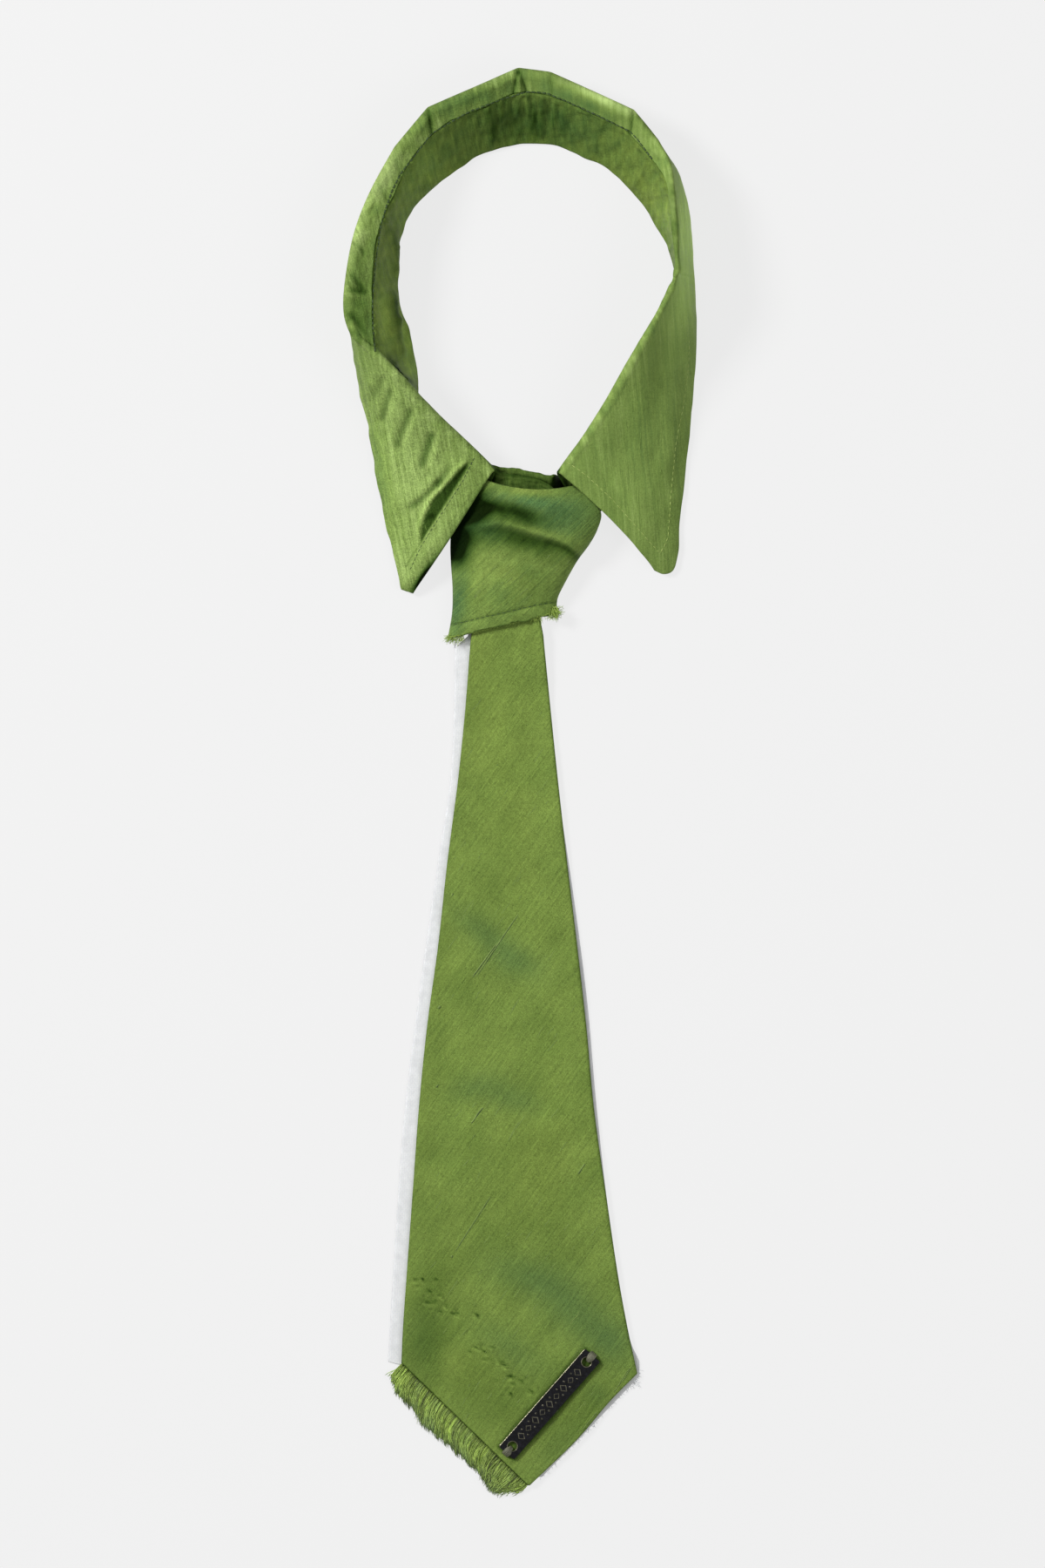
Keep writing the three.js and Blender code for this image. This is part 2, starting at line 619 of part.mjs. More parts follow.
const plateGroup = new THREE.Group();
plateGroup.position.set(PLATE_CENTRE.x, PLATE_CENTRE.y, PLATE_LIFT);
plateGroup.rotation.z = THREE.MathUtils.degToRad(PLATE_CENTRE.turn);
const threadUpper = named("thread_upper", threadBundle(), FINISH.thread);
threadUpper.position.x = PLATE.length / 2;
const threadLower = named("thread_lower", threadBundle(), FINISH.thread);
threadLower.position.x = -PLATE.length / 2;
threadLower.rotation.z = Math.PI;
plateGroup.add(named("name_plate", namePlate(), FINISH.plate), threadUpper, threadLower);
necktie.add(plateGroup);

export default necktie;
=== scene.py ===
"""A green silk necktie closed round the band of a pointed shirt collar, laid flat and seen from above.

Lengths in the tables are millimetres in the frame's axes; MM turns them into metres.
"""
import math

import bpy
import numpy as np
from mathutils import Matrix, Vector
from mathutils.bvhtree import BVHTree


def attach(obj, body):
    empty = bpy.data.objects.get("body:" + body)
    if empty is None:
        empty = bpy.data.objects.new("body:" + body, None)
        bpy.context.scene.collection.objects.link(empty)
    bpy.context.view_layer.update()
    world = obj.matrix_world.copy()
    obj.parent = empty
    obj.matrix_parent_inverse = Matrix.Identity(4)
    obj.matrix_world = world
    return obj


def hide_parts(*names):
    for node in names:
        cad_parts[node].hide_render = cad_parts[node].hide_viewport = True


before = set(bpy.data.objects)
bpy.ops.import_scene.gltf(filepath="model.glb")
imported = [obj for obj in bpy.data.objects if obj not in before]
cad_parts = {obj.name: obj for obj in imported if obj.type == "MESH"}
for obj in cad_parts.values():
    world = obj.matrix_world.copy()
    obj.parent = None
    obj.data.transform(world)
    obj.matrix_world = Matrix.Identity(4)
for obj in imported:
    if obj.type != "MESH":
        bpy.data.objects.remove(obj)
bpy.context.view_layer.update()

MM = 0.001
BODY = "root"

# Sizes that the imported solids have
COLLAR_WALL = 1.4
ROLL_RADIUS = 1.8
SEAM_LAP = 0.2
KNOT_WALL = 1.4
BLADE_WALL = 1.4
BACKING_WALL = 1.0
PLATE = {"length": 48, "width": 7.6, "thickness": 1.2, "hole": 1.7, "inset": 3.4, "bevel": 0.35}
PLATE_PLACE = {"x": 10.4, "y": -228.5, "turn": math.radians(48.6), "lift": 3.0}
# The cloths' round edges, their least height over the floor, and how their threads run, in degrees
EDGE_ROUND = 0.75
FLOOR_GAP = 0.02
KNOT_GRAIN, BLADE_GRAIN, BACKING_GRAIN = 43, 54.5, 86


def number_rows(text):
    """The numbers in a block of text, a list for each line."""
    return [[float(word) for word in line.split()] for line in text.strip().splitlines()]


def table(header, text):
    """The columns of a block of numbers, by their names."""
    return dict(zip(header.split(), np.array(number_rows(text)).T))


# The collar, a row for each section, from its left point round the back to its right point
COLLAR = table("rollX rollY rollZ share drop footX footY edgeX edgeY edgeZ belly corner", """
    -9.5 114.5 14.3 0.3 7.3 -18 91.5 -39.6 69.2 2.2 4.2 1
    -10.6 115.5 14.5 0.3 7.3 -20 93.5 -43.8 70.7 1.7 4.1 1
    -16 121 15.8 0.3 7 -31 103 -45.5 79 1.3 3.8 0
    -26.5 130.5 19 0.3 7 -36 119 -50 97 0.8 3 0
    -37.5 140.5 24 0.12 5 -38 138 -53 113 0.8 2.5 0
    -46 149.5 28 0.05 2.5 -38.5 150 -55.5 129 0.8 2 0
    -54 157.5 29.5 0.05 2 -40 158.5 -59 145 0.8 1.5 0
    -61.5 163.8 28.5 0.36 2 -41.5 165 -60 157 0.8 1 0
    -64.5 174 27.5 0.5 2 -44.5 174 -58.5 173 0.8 1 0
    -63 189.5 28 0.5 2 -45.5 190 -56 188.5 0.8 1 0
    -60 203 27.5 0.5 2 -44 203 -52 200 0.8 1 0
    -54.5 217 25.5 0.45 2 -36.5 214.5 -45 210 0.8 1 0
    -46 232.5 23 0.33 2 -27.5 222.5 -34.5 223 0.8 0.8 1
    -34 247 20.5 0.34 2.2 -18.5 228.5 -24 233 0.8 0.6 1
    -17.5 254.2 19.2 0.33 2.4 -10.5 232 -11.5 238.5 0.8 0.6 0
    -1 261.5 18.5 0.32 2.5 -1.5 234.5 -1.5 241.5 0.8 0.6 1
    10.5 260 18.5 0.32 2.5 10 234.5 10.3 240.5 0.8 0.6 1
    26 253 19.5 0.32 2.5 21.5 230.5 22 236 0.8 0.6 0
    41 246 20.8 0.32 2.5 32 225 35 230 0.8 0.8 1
    50 234.8 24 0.3 2.5 40.5 217 47 227 0.8 1 1
    54.5 225.5 28 0.24 2 45 211.5 56.5 224 0.8 1 0
    55.7 213 31 0.05 1.2 50 204 60.3 213 0.8 1 0
    56.5 200 32.5 0.04 1.2 54.5 196.5 62.2 200 0.8 1 0
    57 187 33 0.05 1.5 57 186.5 63 186 0.8 1 0.8
    53.5 178 32 0.1 2 57.5 175 63.8 173 0.8 1.2 0
    46.5 165.5 29.5 0.32 6 55.3 161 64 160 0.8 1.6 0
    39 153 26.5 0.3 6 52 146.5 63 145 0.8 2 0
    31.5 140 22.5 0.3 6 47.5 132 61.8 130 0.8 2.6 0
    23.5 127.5 18.5 0.3 6.5 41 116.5 60 112 0.8 3 0
    18 120 15.8 0.3 7 34 105 58 95 1 3.6 0
    16 117.2 15.1 0.3 7.2 29 99 57.4 84 1.2 3.7 0
    15.1 115.9 14.8 0.3 7.2 26.8 96.5 55.9 77.9 1.5 3.7 0
    14.3 114.7 14.5 0.3 7.3 25 94.6 52.6 76.5 1.7 3.8 0
    13.5 113.5 14.3 0.3 7.3 23.5 93 48.9 78 1.8 3.8 1
""")
BAND_TAB = table("rollX rollY rollZ footX footY footZ corner", """
    13 106.9 9.2 11.5 99 4 1
    11 109.2 9.9 7.5 94 3.4 0.3
    7.5 111 9.8 3 92 3 0
    2.4 112 10.1 -2 91 2.7 0
    -4 112.8 10.2 -8 90.8 2.7 0
    -8.6 114.3 10.1 -13 91 2.2 0
    -12.5 117 9 -16 92 1.8 1
""")
BAND_UNDER = table("rollX rollY rollZ footX footY footZ corner", """
    17.5 111 1 20.4 96 0.8 1
    13.6 112.4 1.4 17 92.4 0.8 0.7
    11.9 113.4 8.6 12.5 95 0.8 0.7
    10 113.1 9.2 11.5 92.4 0.8 0
    5 113.6 9.3 8 91 0.8 0
    -1 115 8.6 4 90.4 0.8 0
    -7 115.4 8.5 -2 90.4 0.8 0
    -12.5 117.4 7.6 -8 92 0.8 1
""")
KNOT = table("leftX leftY rightX rightY dip base crown corner", """
    -14 110.8 19.5 108.4 2.2 11.1 14.8 0
    -18 105.8 26 103.5 1.6 10.5 15.1 0
    -22.2 99.5 29.4 98.5 0.8 8.8 15.4 0
    -25.4 93 28 92.5 0.4 5.8 16 0
    -26 87 25 87 0 2.8 15.4 0
    -25.8 80 20.6 81 0 0.2 14 0
    -25.2 71 16.2 73.2 0 0 11.8 0
    -25.4 62 13.4 67.2 0 0 9.2 0
    -27 52.6 13.2 62 0 0 7.2 0
""")
BLADE = table("y left right height corner", """
    80 -15.5 7 3.3 0
    62 -17.4 7 3.3 0
    53.5 -18.4 8.2 3.3 1
    49 -18.8 8.6 2.8 1
    25 -20.7 11 1.5 0
    0 -23.3 13.6 1.3 0
    -30 -27.2 17 1.3 0
    -60 -30.5 20.6 1.3 0
    -90 -34.6 24 1.3 0
    -120 -37.6 26.8 1.3 0
    -150 -39.8 31 1.3 0
    -180 -42 35.4 1.3 0
    -200 -43.4 39 1.3 0
    -213.5 -44 41.9 1.3 1
    -217.3 -40.1 42.7 1.3 1
    -228 -29 32.2 1.3 0
    -242 -14.5 20.2 1.3 0
    -258.4 2.4 3.2 1.3 1
""")
BACKING = table("y left right height corner", """
    78 -15.5 5 1.9 0
    62 -17.4 5 1.9 0
    53.5 -19.6 6 1.9 1
    49 -24.4 7.4 1.4 1
    25 -24.8 10 0.1 0
    0 -26.2 13 0 0
    -40 -32.2 19 0 0
    -80 -37.8 24.2 0 0
    -120 -42.8 27.8 0 0
    -160 -45.9 32.4 0 0
    -200 -48.2 38.8 0 0
    -213 -49 43.4 0 1
    -214.8 -42.4 43.5 0 1
    -218.4 -38.7 43.4 0 1
    -240 -16.4 22.6 0 0
    -256 0.2 7 0 1
""")
HEM_START = np.array([-44.0, -213.7])
HEM_END = np.array([2.3, -258.4])

# Folds, lines on the cloth seen from above: from x, from y, to x, to y, width, height. Below 0 is a groove.
LEAF_FOLDS = number_rows("""
    -40.4 135.3 -45.3 123.7 1.9 -1
    -38 136.5 -42.6 124.5 1.7 0.55
    -32.6 126.6 -36 116.6 1.9 -1.1
    -30.2 127.5 -33.5 116 1.7 0.6
    -26.5 115.4 -30.2 109.6 1.5 -1
    -30.2 109.6 -39.8 101 1.4 -1.1
    -25 117 -38 104.2 1.5 0.5
    -47.9 142.6 -50.6 133.6 1.7 -0.9
    -46 143 -48 134 1.5 0.5
    -51 147 -54 141 1.8 -0.5
    -33 97.5 -39.5 96 1.2 -0.3
    24 128 45 96 3.5 0.35
    58 150 57 110 2.5 -0.3
    50 165 47 120 3 -0.3
""")
STRIP_FOLDS = number_rows("""
    -34.1 247.2 -32.8 237.6 0.7 -0.9
    -1.1 261.6 -2.9 252 0.6 -0.8
    -1.1 261.6 2.3 252 0.6 -0.8
    -0.6 258 -0.3 252 1.1 0.7
    10.7 260 11.4 252.6 0.7 -0.5
    41.1 245.6 40.2 238.2 0.6 -0.8
    -46.5 229.5 -44.3 222.6 0.8 -0.4
    -64 178.5 -57.5 177 0.8 0.55
    -63.5 180.2 -57 179.3 0.8 -0.5
    -62 185.5 -58.5 181 0.9 -0.5
    -60.5 197 -57.5 193.5 0.8 -0.45
    -59 202 -56 201 0.8 0.4
    -57.5 206 -54.5 210.5 0.9 -0.4
    -62.5 171 -55 160 1.4 -0.5
    -61.5 168 -57 162.5 1 0.4
    -52.5 219 -48 212 0.9 -0.4
    50.5 228 47 231 0.8 -0.4
""")
STAND_FOLDS = number_rows("""
    -48 178.5 -46.3 168.8 1.8 -1.1
    -46.3 168.8 -44.1 157.4 1.6 -0.9
    -51.4 176 -48.8 163 1.6 0.7
    -44.6 172 -41.8 158 1.3 0.6
    -49.1 154.7 -45.6 149 1.5 -0.8
    -45.6 149 -42 146.4 1.2 -0.5
    -50 206 -47 196 1.2 -0.6
    -47 202 -46 188 1.4 -0.7
    -49.5 193 -48 186 1.2 0.5
    -12.5 247 -11 237 1.3 -0.9
    -9.8 248 -9.5 238 1 0.6
    -8 249 -7.5 243 0.7 -0.9
    -5.6 249.5 -4.5 244 0.6 -0.7
    -3.6 250 -6.5 240 0.7 0.6
    -1.5 251 -1 246 0.6 -0.7
    0.8 252 1 240 0.8 0.5
    2.4 252 3 245 0.6 -0.7
    5 251.5 5 243 0.7 -0.6
    8 251 7.5 238 0.9 -0.8
    11 250.5 10 240 0.9 0.5
    13 249 12 241 0.8 -0.6
    17 247.5 15.5 238 1.1 -0.5
    -32 235 -29.5 228 0.9 -0.6
    -29 238 -24 235.5 0.8 -0.3
    -26 239.5 -25.5 234 0.8 -0.4
    30 241 27 233 1.2 -0.4
    40 233 36 227 1.2 -0.5
    46.5 226 42 219 1.1 -0.5
    -41.5 227 -37 218 1.6 -0.4
""")
KNOT_FOLDS = number_rows("""
    -24 90 -22 79 3.5 -1.2
    -12 84 -2 78 6 0.6
    8 106 16 103 4 0.4
    20 97 22 88 4 0.4
    21 83 10 87 1.2 -0.7
""")
BLADE_FOLDS = number_rows("""
    -14 40 -18 -20 7 0.7
    6 30 8 -40 6 0.5
    -24 -60 -30 -140 8 0.5
    10 -90 20 -170 9 0.6
    -12 -130 -20 -190 7 0.4
    -36 -190 -12 -200 6 0.4
    -26 -48 -12 -58 3 -0.25
    -12 -58 6 -62 3.5 -0.2
""")

# Patches of colour, and of painted shade and light: x, y, size along, size across, turn in degrees, strength
# Where the shot silk turns: above 0 towards teal, below 0 towards yellow. Among the leaf's patches, the pale
# one along the roll's top at the right is a painted highlight, and the pale one over the left leaf is painted
# light.
LEAF_PATCHES = number_rows("""
    -51 112 4 20 8 0.45
    45 128 5 16 -5 0.2
    -40 116 16 40 10 -0.35
    58 120 4 40 3 0.15
    -60 205 3 22 -10 -0.5
    -50 222 3 12 -25 -0.7
    -20 250 14 3 20 0.5
    -12 257 12 1.8 24 -0.5
    19 250.4 14 2.6 -25 0.7
    30 250.6 13 2.2 -24 -0.9
    -57 168 4 8 10 0.3
    -44 78 4 6 10 -0.3
""")
STAND_PATCHES = number_rows("""
    0 243 26 8 0 0.5
    -30 231 12 6 35 0.35
    20 240 16 7 -25 0.5
    46 216 10 5 -50 -0.4
    -51 200 4 16 0 -0.25
    -50 168 4 12 10 -0.3
""")
KNOT_PATCHES = number_rows("""
    15 97 13 8 10 0.7
    -1 103.4 16 3.4 -6 0.6
    -24 89 4.5 8 -12 0.9
    -19 99 7 5 0 0.7
    -6 76 14 9 20 -0.3
    -12 92 8 4 -5 0.6
    -22 68 3 12 -5 0.6
    -8 70 5 5 30 0.35
    2 78 6 3 -30 0.3
    -25 64 2.5 12 0 0.5
    4 106.5 9 1.6 -3 -0.7
    6 92 12 1.6 -16 -0.4
""")
# Painted shade and light on the silk: above 0 darker, painted shade; below 0 lighter, painted light
STRIP_TONES = number_rows("""
    -58.7 175 3 12 5 0.16
    -59 178 7 22 0 0.32
    -60 168 5 8 10 0.12
    -52 222 6 14 -30 0.1
    -20 250 18 6 22 0.28
    14 257 12 3 -10 0.12
    29 251 13 2 -24 -0.45
    -57.4 208 3.4 9 -20 -0.22
    26 247.5 12 2 -24 0.2
    -0.4 256.6 1.5 3.4 0 0.3
    -33.6 242 1.6 4 -8 0.12
    56.5 207 3.5 22 -4 0.34
    47.5 232 3 4 -30 -0.15
    54 222 4 12 12 -0.12
""")
FALL_TONES = number_rows("""
    -46 118 12 34 8 -0.24
    -26 94 22 3.4 55 -0.22
    -42 82 6 14 0 -0.12
    60.5 205 5 26 0 -1.3
    -36 75.4 7.5 1.3 56 0.9
    56 140 6 40 0 -0.14
    -58 158 4 12 15 -0.12
    48 140 12 34 0 -0.2
    30 121 6 12 -35 0.16
    58 178 5 18 0 -0.3
""")
STAND_TONES = number_rows("""
    0 240 20 7 0 0.38
    -1 246 16 3 0 0.15
    -37 225 12 7 45 -0.4
    -50.6 168 2.6 15 4 -0.62
    -43.5 165 2.6 12 8 -0.38
    -40.6 151 3 4 20 -0.7
    -47.4 174.5 1.2 4 8 0.45
    -45.6 163 0.9 7 10 0.3
    -46.5 151 4.6 1.1 -57 0.6
    -41.2 146.2 3.4 1 -30 0.5
    -42 205 4 12 -12 -0.2
    -48 198 4 12 0 0.06
    4.8 241.5 1.3 5 0 0.3
    8.2 242 1.2 5 0 -0.16
    1.6 242 1.2 5 0 -0.12
    -9.8 239.5 1.4 4 0 0.3
    -7.2 241 1.2 4 0 -0.16
    -12.6 241 1.2 4 0 -0.12
    50 212 4 10 20 -0.12
    38 228 16 6 -45 -0.08
    -43 159 3 6 10 -0.42
    53.5 205 4 12 0 -0.42
""")
KNOT_TONES = number_rows("""
    -24 90 6 4 -12 1
    -25.2 84.4 4.6 5.6 -20 1
    -21.5 83 4 5 -20 0.4
    -19.5 101 6.5 6.5 0 1
    -16 107 4.5 3.5 -30 0.55
    14 98 12 8 10 0.2
    1 87.6 10 2.8 -8 0.12
    2 103.4 14 3 -4 -0.3
    -3 92 9 2.6 -10 -0.12
    -8 73 14 9 20 -0.13
""")
BLADE_TONES = number_rows("""
    -34 -200 9 26 -8 0.33
    -12 -222 18 12 -40 0.2
    20 -232 20 14 40 0.24
    0 -165 30 30 0 0.1
    -22 -75 10 20 10 0.06
""")
BLADE_PATCHES = number_rows("""
    -14 -55 14 5 -35 0.6
    -2 -66 11 6 -20 0.65
    -16 -112 11 5 15 0.5
    -2 -117 10 5 -15 0.6
    4 -182 16 7 -15 0.7
    20 -195 15 9 -35 0.75
    33 -206 9 8 -40 0.7
    -4 -208 14 6 -35 0.5
    28 -225 5 4 -35 0.4
    -10 20 10 60 10 -0.15
    5 -140 14 22 0 -0.25
    -36 -205 8 14 0 0.35
    14 -245 14 6 40 0.3
    -22 -215 12 8 -40 -0.2
""")


def along(columns, at):
    """The columns of a table at stations between its rows, on a curve that is straight near a corner."""
    corner = columns["corner"]
    index = np.clip(np.floor(at).astype(int), 0, len(corner) - 2)
    t = at - index
    before, after = np.maximum(index - 1, 0), np.minimum(index + 2, len(corner) - 1)
    sharp_a, sharp_b = corner[index], corner[index + 1]
    values = {}
    for name, column in columns.items():
        a, b = column[index], column[index + 1]
        chord = b - a
        slope_a = (1 - sharp_a) * (b - column[before]) / 2 + sharp_a * chord
        slope_b = (1 - sharp_b) * (column[after] - a) / 2 + sharp_b * chord
        cubic = slope_a + slope_b - 2 * chord
        values[name] = a + t * (slope_a + t * (3 * chord - 2 * slope_a - slope_b + t * cubic))
    return values


def hump(far, width):
    """1 where far is 0, falling smoothly to about a third at the width and to nothing beyond it."""
    return np.exp(-((far / width) ** 2))


def turned(x, y, turn):
    """Places as seen in axes that are turned by an angle in radians."""
    return x * math.cos(turn) + y * math.sin(turn), y * math.cos(turn) - x * math.sin(turn)


def beside(x, y, start, end):
    """How far places lie along a line and to the right of it."""
    run = unit(end - start)
    dx, dy = x - start[0], y - start[1]
    return dx * run[0] + dy * run[1], dx * run[1] - dy * run[0]


def fold_relief(folds, x, y):
    """The height of all the folds at each place."""
    total = np.zeros_like(x)
    for from_x, from_y, to_x, to_y, width, height in folds:
        run = np.array([to_x - from_x, to_y - from_y])
        dx, dy = x - from_x, y - from_y
        share = np.clip((dx * run[0] + dy * run[1]) / (run @ run), 0, 1)
        far = (dx - share * run[0]) ** 2 + (dy - share * run[1]) ** 2
        total += height * np.exp(-far / width**2)
    return total


def patches_at(patches, x, y):
    """The strength of all the patches at each place."""
    total = np.zeros_like(x)
    for patch_x, patch_y, length, width, turn, strength in patches:
        a, b = turned(x - patch_x, y - patch_y, math.radians(turn))
        total += strength * np.exp(-((a / length) ** 2 + (b / width) ** 2))
    return total


def ripple(x, y, size, seed):
    """A smooth random height of about unit spread, whose bumps are about size apart."""
    rng = np.random.default_rng(seed)
    waves = 14
    total = np.zeros_like(x)
    for _ in range(waves):
        turn, phase = rng.uniform(0, math.tau, 2)
        length = size * rng.uniform(0.7, 1.7)
        total += np.cos((x * math.cos(turn) + y * math.sin(turn)) * math.tau / length + phase)
    return total * math.sqrt(2 / waves)


def smooth(low, high, value):
    """0 up to low and 1 from high on, with a soft step between them."""
    t = np.clip((value - low) / (high - low), 0, 1)
    return t * t * (3 - 2 * t)


def between(low, full, fading, high, value):
    """1 from full to fading, with soft steps to 0 at low and at high."""
    return smooth(low, full, value) * (1 - smooth(fading, high, value))


def unit(v):
    return v / np.maximum(np.linalg.norm(v, axis=-1, keepdims=True), 1e-9)


def quads(ids):
    """Faces between the neighbours in a grid of point numbers."""
    return np.stack([ids[:-1, :-1], ids[1:, :-1], ids[1:, 1:], ids[:-1, 1:]], -1).reshape(-1, 4)


def fan(count):
    """Faces of four corners that close an even ring."""
    return [[0, k, k + 1, k + 2] for k in range(1, count - 2, 2)]


def add_object(name, data):
    thing = bpy.data.objects.new(name, data)
    bpy.context.scene.collection.objects.link(thing)
    return thing


def mesh_piece(name, points, faces, material, slot, grain=None, tint=None, tone=None, coarse=None):
    """A mesh in metres from points in millimetres and faces of four corners each."""
    mesh = bpy.data.meshes.new(name)
    mesh.vertices.add(len(points))
    mesh.vertices.foreach_set("co", (np.asarray(points, float) * MM).ravel())
    mesh.loops.add(len(faces) * 4)
    mesh.loops.foreach_set("vertex_index", np.asarray(faces, np.int32).ravel())
    mesh.polygons.add(len(faces))
    mesh.polygons.foreach_set("loop_start", np.arange(0, len(faces) * 4, 4, dtype=np.int32))
    mesh.update(calc_edges=True)
    mesh.polygons.foreach_set("use_smooth", np.ones(len(faces), bool))
    if grain is not None:
        layer = mesh.uv_layers.new(name="grain")
        layer.data.foreach_set("uv", np.asarray(grain, float)[np.asarray(faces).ravel()].ravel())
    for label, values in (("tint", tint), ("tone", tone), ("coarse", coarse)):
        if values is not None:
            mesh.attributes.new(label, "FLOAT", "POINT").data.foreach_set("value", np.asarray(values, float))
    mesh.materials.append(material)
    piece = add_object(name, mesh)
    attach(piece, BODY)
    return piece


def edge_rounding(grid, open_sides):
    """How much of the wall's half thickness is there near a free edge, from 0 to 1."""
    def run(axis):
        steps = np.linalg.norm(np.diff(grid, axis=axis), axis=2)
        return np.insert(np.cumsum(steps, axis=axis), 0, 0, axis=axis)

    down, across = run(0), run(1)
    far = np.minimum(down, down[-1:] - down)
    if "first" in open_sides:
        far = np.minimum(far, across)
    if "last" in open_sides:
        far = np.minimum(far, across[:, -1:] - across)
    inside = np.clip(1 - far / EDGE_ROUND, 0, 1)
    return np.maximum(np.sqrt(1 - inside**2), 0.12)


def cloth_wall(name, grid, wall, relief, looks, material, slot, open_sides=("first", "last")):
    """A closed wall of cloth round a grid of points, with round edges, flattened where it rests.

    looks gives the grain, and the tint, the tone (painted shade and light) and the coarseness of the silk at
    each point.
    """
    normal = unit(np.cross(np.gradient(grid, axis=0), np.gradient(grid, axis=1)))
    middle = grid + normal * relief[..., None]
    half = wall / 2 * edge_rounding(grid, open_sides)
    upper = middle + normal * half[..., None]
    lower = middle - normal * half[..., None]
    for skin in (upper, lower):
        skin[..., 2] = np.maximum(skin[..., 2], FLOOR_GAP)
    count = grid.shape[0] * grid.shape[1]
    top = np.arange(count).reshape(grid.shape[:2])
    low = top + count
    rims = [
        np.stack([top[:-1, 0], low[:-1, 0], low[1:, 0], top[1:, 0]], -1),
        np.stack([top[:-1, -1], top[1:, -1], low[1:, -1], low[:-1, -1]], -1),
        np.stack([top[0, :-1], top[0, 1:], low[0, 1:], low[0, :-1]], -1),
        np.stack([top[-1, :-1], low[-1, :-1], low[-1, 1:], top[-1, 1:]], -1),
    ]
    faces = np.vstack([quads(top), quads(low)[:, ::-1], *rims])
    points = np.vstack([upper.reshape(-1, 3), lower.reshape(-1, 3)])
    grain = np.vstack([looks[0].reshape(-1, 2)] * 2)
    spread = (np.concatenate([np.broadcast_to(values, grid.shape[:2]).ravel()] * 2) for values in looks[1:])
    return mesh_piece(name, points, faces, material, slot, grain, *spread)


def strands(name, paths, radius, material, slot, sides=4, tint=0.0, tone=0.0, tip=0.35):
    """Round threads along paths of the same number of points, thinner at their tips."""
    paths = np.asarray(paths, float)
    count, steps = paths.shape[:2]
    heading = unit(np.gradient(paths, axis=1))
    side = unit(np.cross(heading, np.array([0.13, 0.07, 1.0])))
    above = np.cross(side, heading)
    turn = np.arange(sides) * math.tau / sides + math.pi / 4
    taper = 1 - (1 - tip) * np.abs(np.linspace(-1, 1, steps)) ** 6
    reach = np.broadcast_to(np.asarray(radius, float).reshape(-1, 1), (count, 1)) * taper
    ring = side[:, :, None] * np.cos(turn)[:, None] + above[:, :, None] * np.sin(turn)[:, None]
    points = (paths[:, :, None] + ring * reach[:, :, None, None]).reshape(-1, 3)
    ids = np.arange(count * steps * sides).reshape(count, steps, sides)
    ids_next = np.roll(ids, -1, axis=2)
    wall = np.stack([ids[:, :-1], ids_next[:, :-1], ids_next[:, 1:], ids[:, 1:]], -1).reshape(-1, 4)
    caps = []
    for corners in fan(sides):
        caps += [ids[:, 0][:, corners[::-1]], ids[:, -1][:, corners]]
    faces = np.vstack([wall, *caps])
    grain = np.repeat(np.stack([paths[..., 0] + paths[..., 1], paths[..., 2]], -1).reshape(-1, 2), sides, 0)
    spread = (np.repeat(np.broadcast_to(values, (count, steps)).ravel(), sides) for values in (tint, tone))
    return mesh_piece(name, points, faces, material, slot, grain, *spread)


# Materials


def paint(red, green, blue):
    """A linear colour from the 0 to 255 values seen on a screen."""
    shares = (c / 255 for c in (red, green, blue))
    return (*(((c + 0.055) / 1.055) ** 2.4 if c > 0.04 else c / 12.92 for c in shares), 1)


class Shader:
    """A node material whose nodes are added one by one."""

    def __init__(self, name):
        self.material = bpy.data.materials.new(name)
        self.material.use_nodes = True
        self.tree = self.material.node_tree
        self.surface = self.tree.nodes["Principled BSDF"]

    def add(self, kind, inputs=(), **settings):
        node = self.tree.nodes.new("ShaderNode" + kind)
        for key, value in settings.items():
            setattr(node, key, value)
        for key, value in dict(inputs).items():
            self.put(node.inputs[key], value)
        return node

    def put(self, socket, value):
        if isinstance(value, bpy.types.NodeSocket):
            self.tree.links.new(value, socket)
        else:
            socket.default_value = value

    def noise(self, where, scale, stretch=(1, 1, 1), detail=3.0, roughness=0.55):
        mapped = self.add("Mapping", {"Vector": where, "Scale": stretch}).outputs[0]
        inputs = {"Vector": mapped, "Scale": scale, "Detail": detail, "Roughness": roughness}
        return self.add("TexNoise", inputs).outputs["Fac"]

    def place(self):
        return self.add("TexCoord").outputs["Object"]

    def grain(self):
        return self.add("UVMap", uv_map="grain").outputs[0]

    def attribute(self, name):
        return self.add("Attribute", attribute_name=name).outputs["Fac"]

    def mix(self, amount, first, second, blend="MIX"):
        node = self.add("Mix", data_type="RGBA", blend_type=blend)
        for socket, value in zip((0, 6, 7), (amount, first, second)):
            self.put(node.inputs[socket], value)
        return node.outputs[2]

    def math(self, operation, first, second=0.0, clamp=False):
        return self.add("Math", {0: first, 1: second}, operation=operation, use_clamp=clamp).outputs[0]

    def total(self, *parts):
        """The sum of fields, each times its share."""
        result = 0.0
        for share, field in parts:
            result = self.math("ADD", result, self.math("MULTIPLY", field, share))
        return result

    def span(self, value, low, high, to_low, to_high):
        inputs = {"Value": value, "From Min": low, "From Max": high, "To Min": to_low, "To Max": to_high}
        return self.add("MapRange", inputs).outputs[0]

    def clouds(self, field, low, high, first, second):
        """From the first colour to the second as a field goes from low to high."""
        return self.mix(self.span(field, low, high, 0, 1), paint(*first), paint(*second))

    def toward(self, colour, other, field, sign=1.0):
        """Another colour where a field is above 0, or where it is below 0 with the sign -1."""
        return self.mix(self.math("MULTIPLY", field, sign, clamp=True), colour, paint(*other))

    def lit(self, colour, value):
        return self.add("HueSaturation", {"Value": value, "Color": colour}).outputs[0]

    def bump(self, height, strength, distance):
        return self.add("Bump", {"Height": height, "Strength": strength, "Distance": distance}).outputs[0]

    def finish(self, **values):
        """Sets the shader's own sockets and gives the material."""
        for key, value in values.items():
            self.put(self.surface.inputs[key.replace("_", " ")], value)
        return self.material


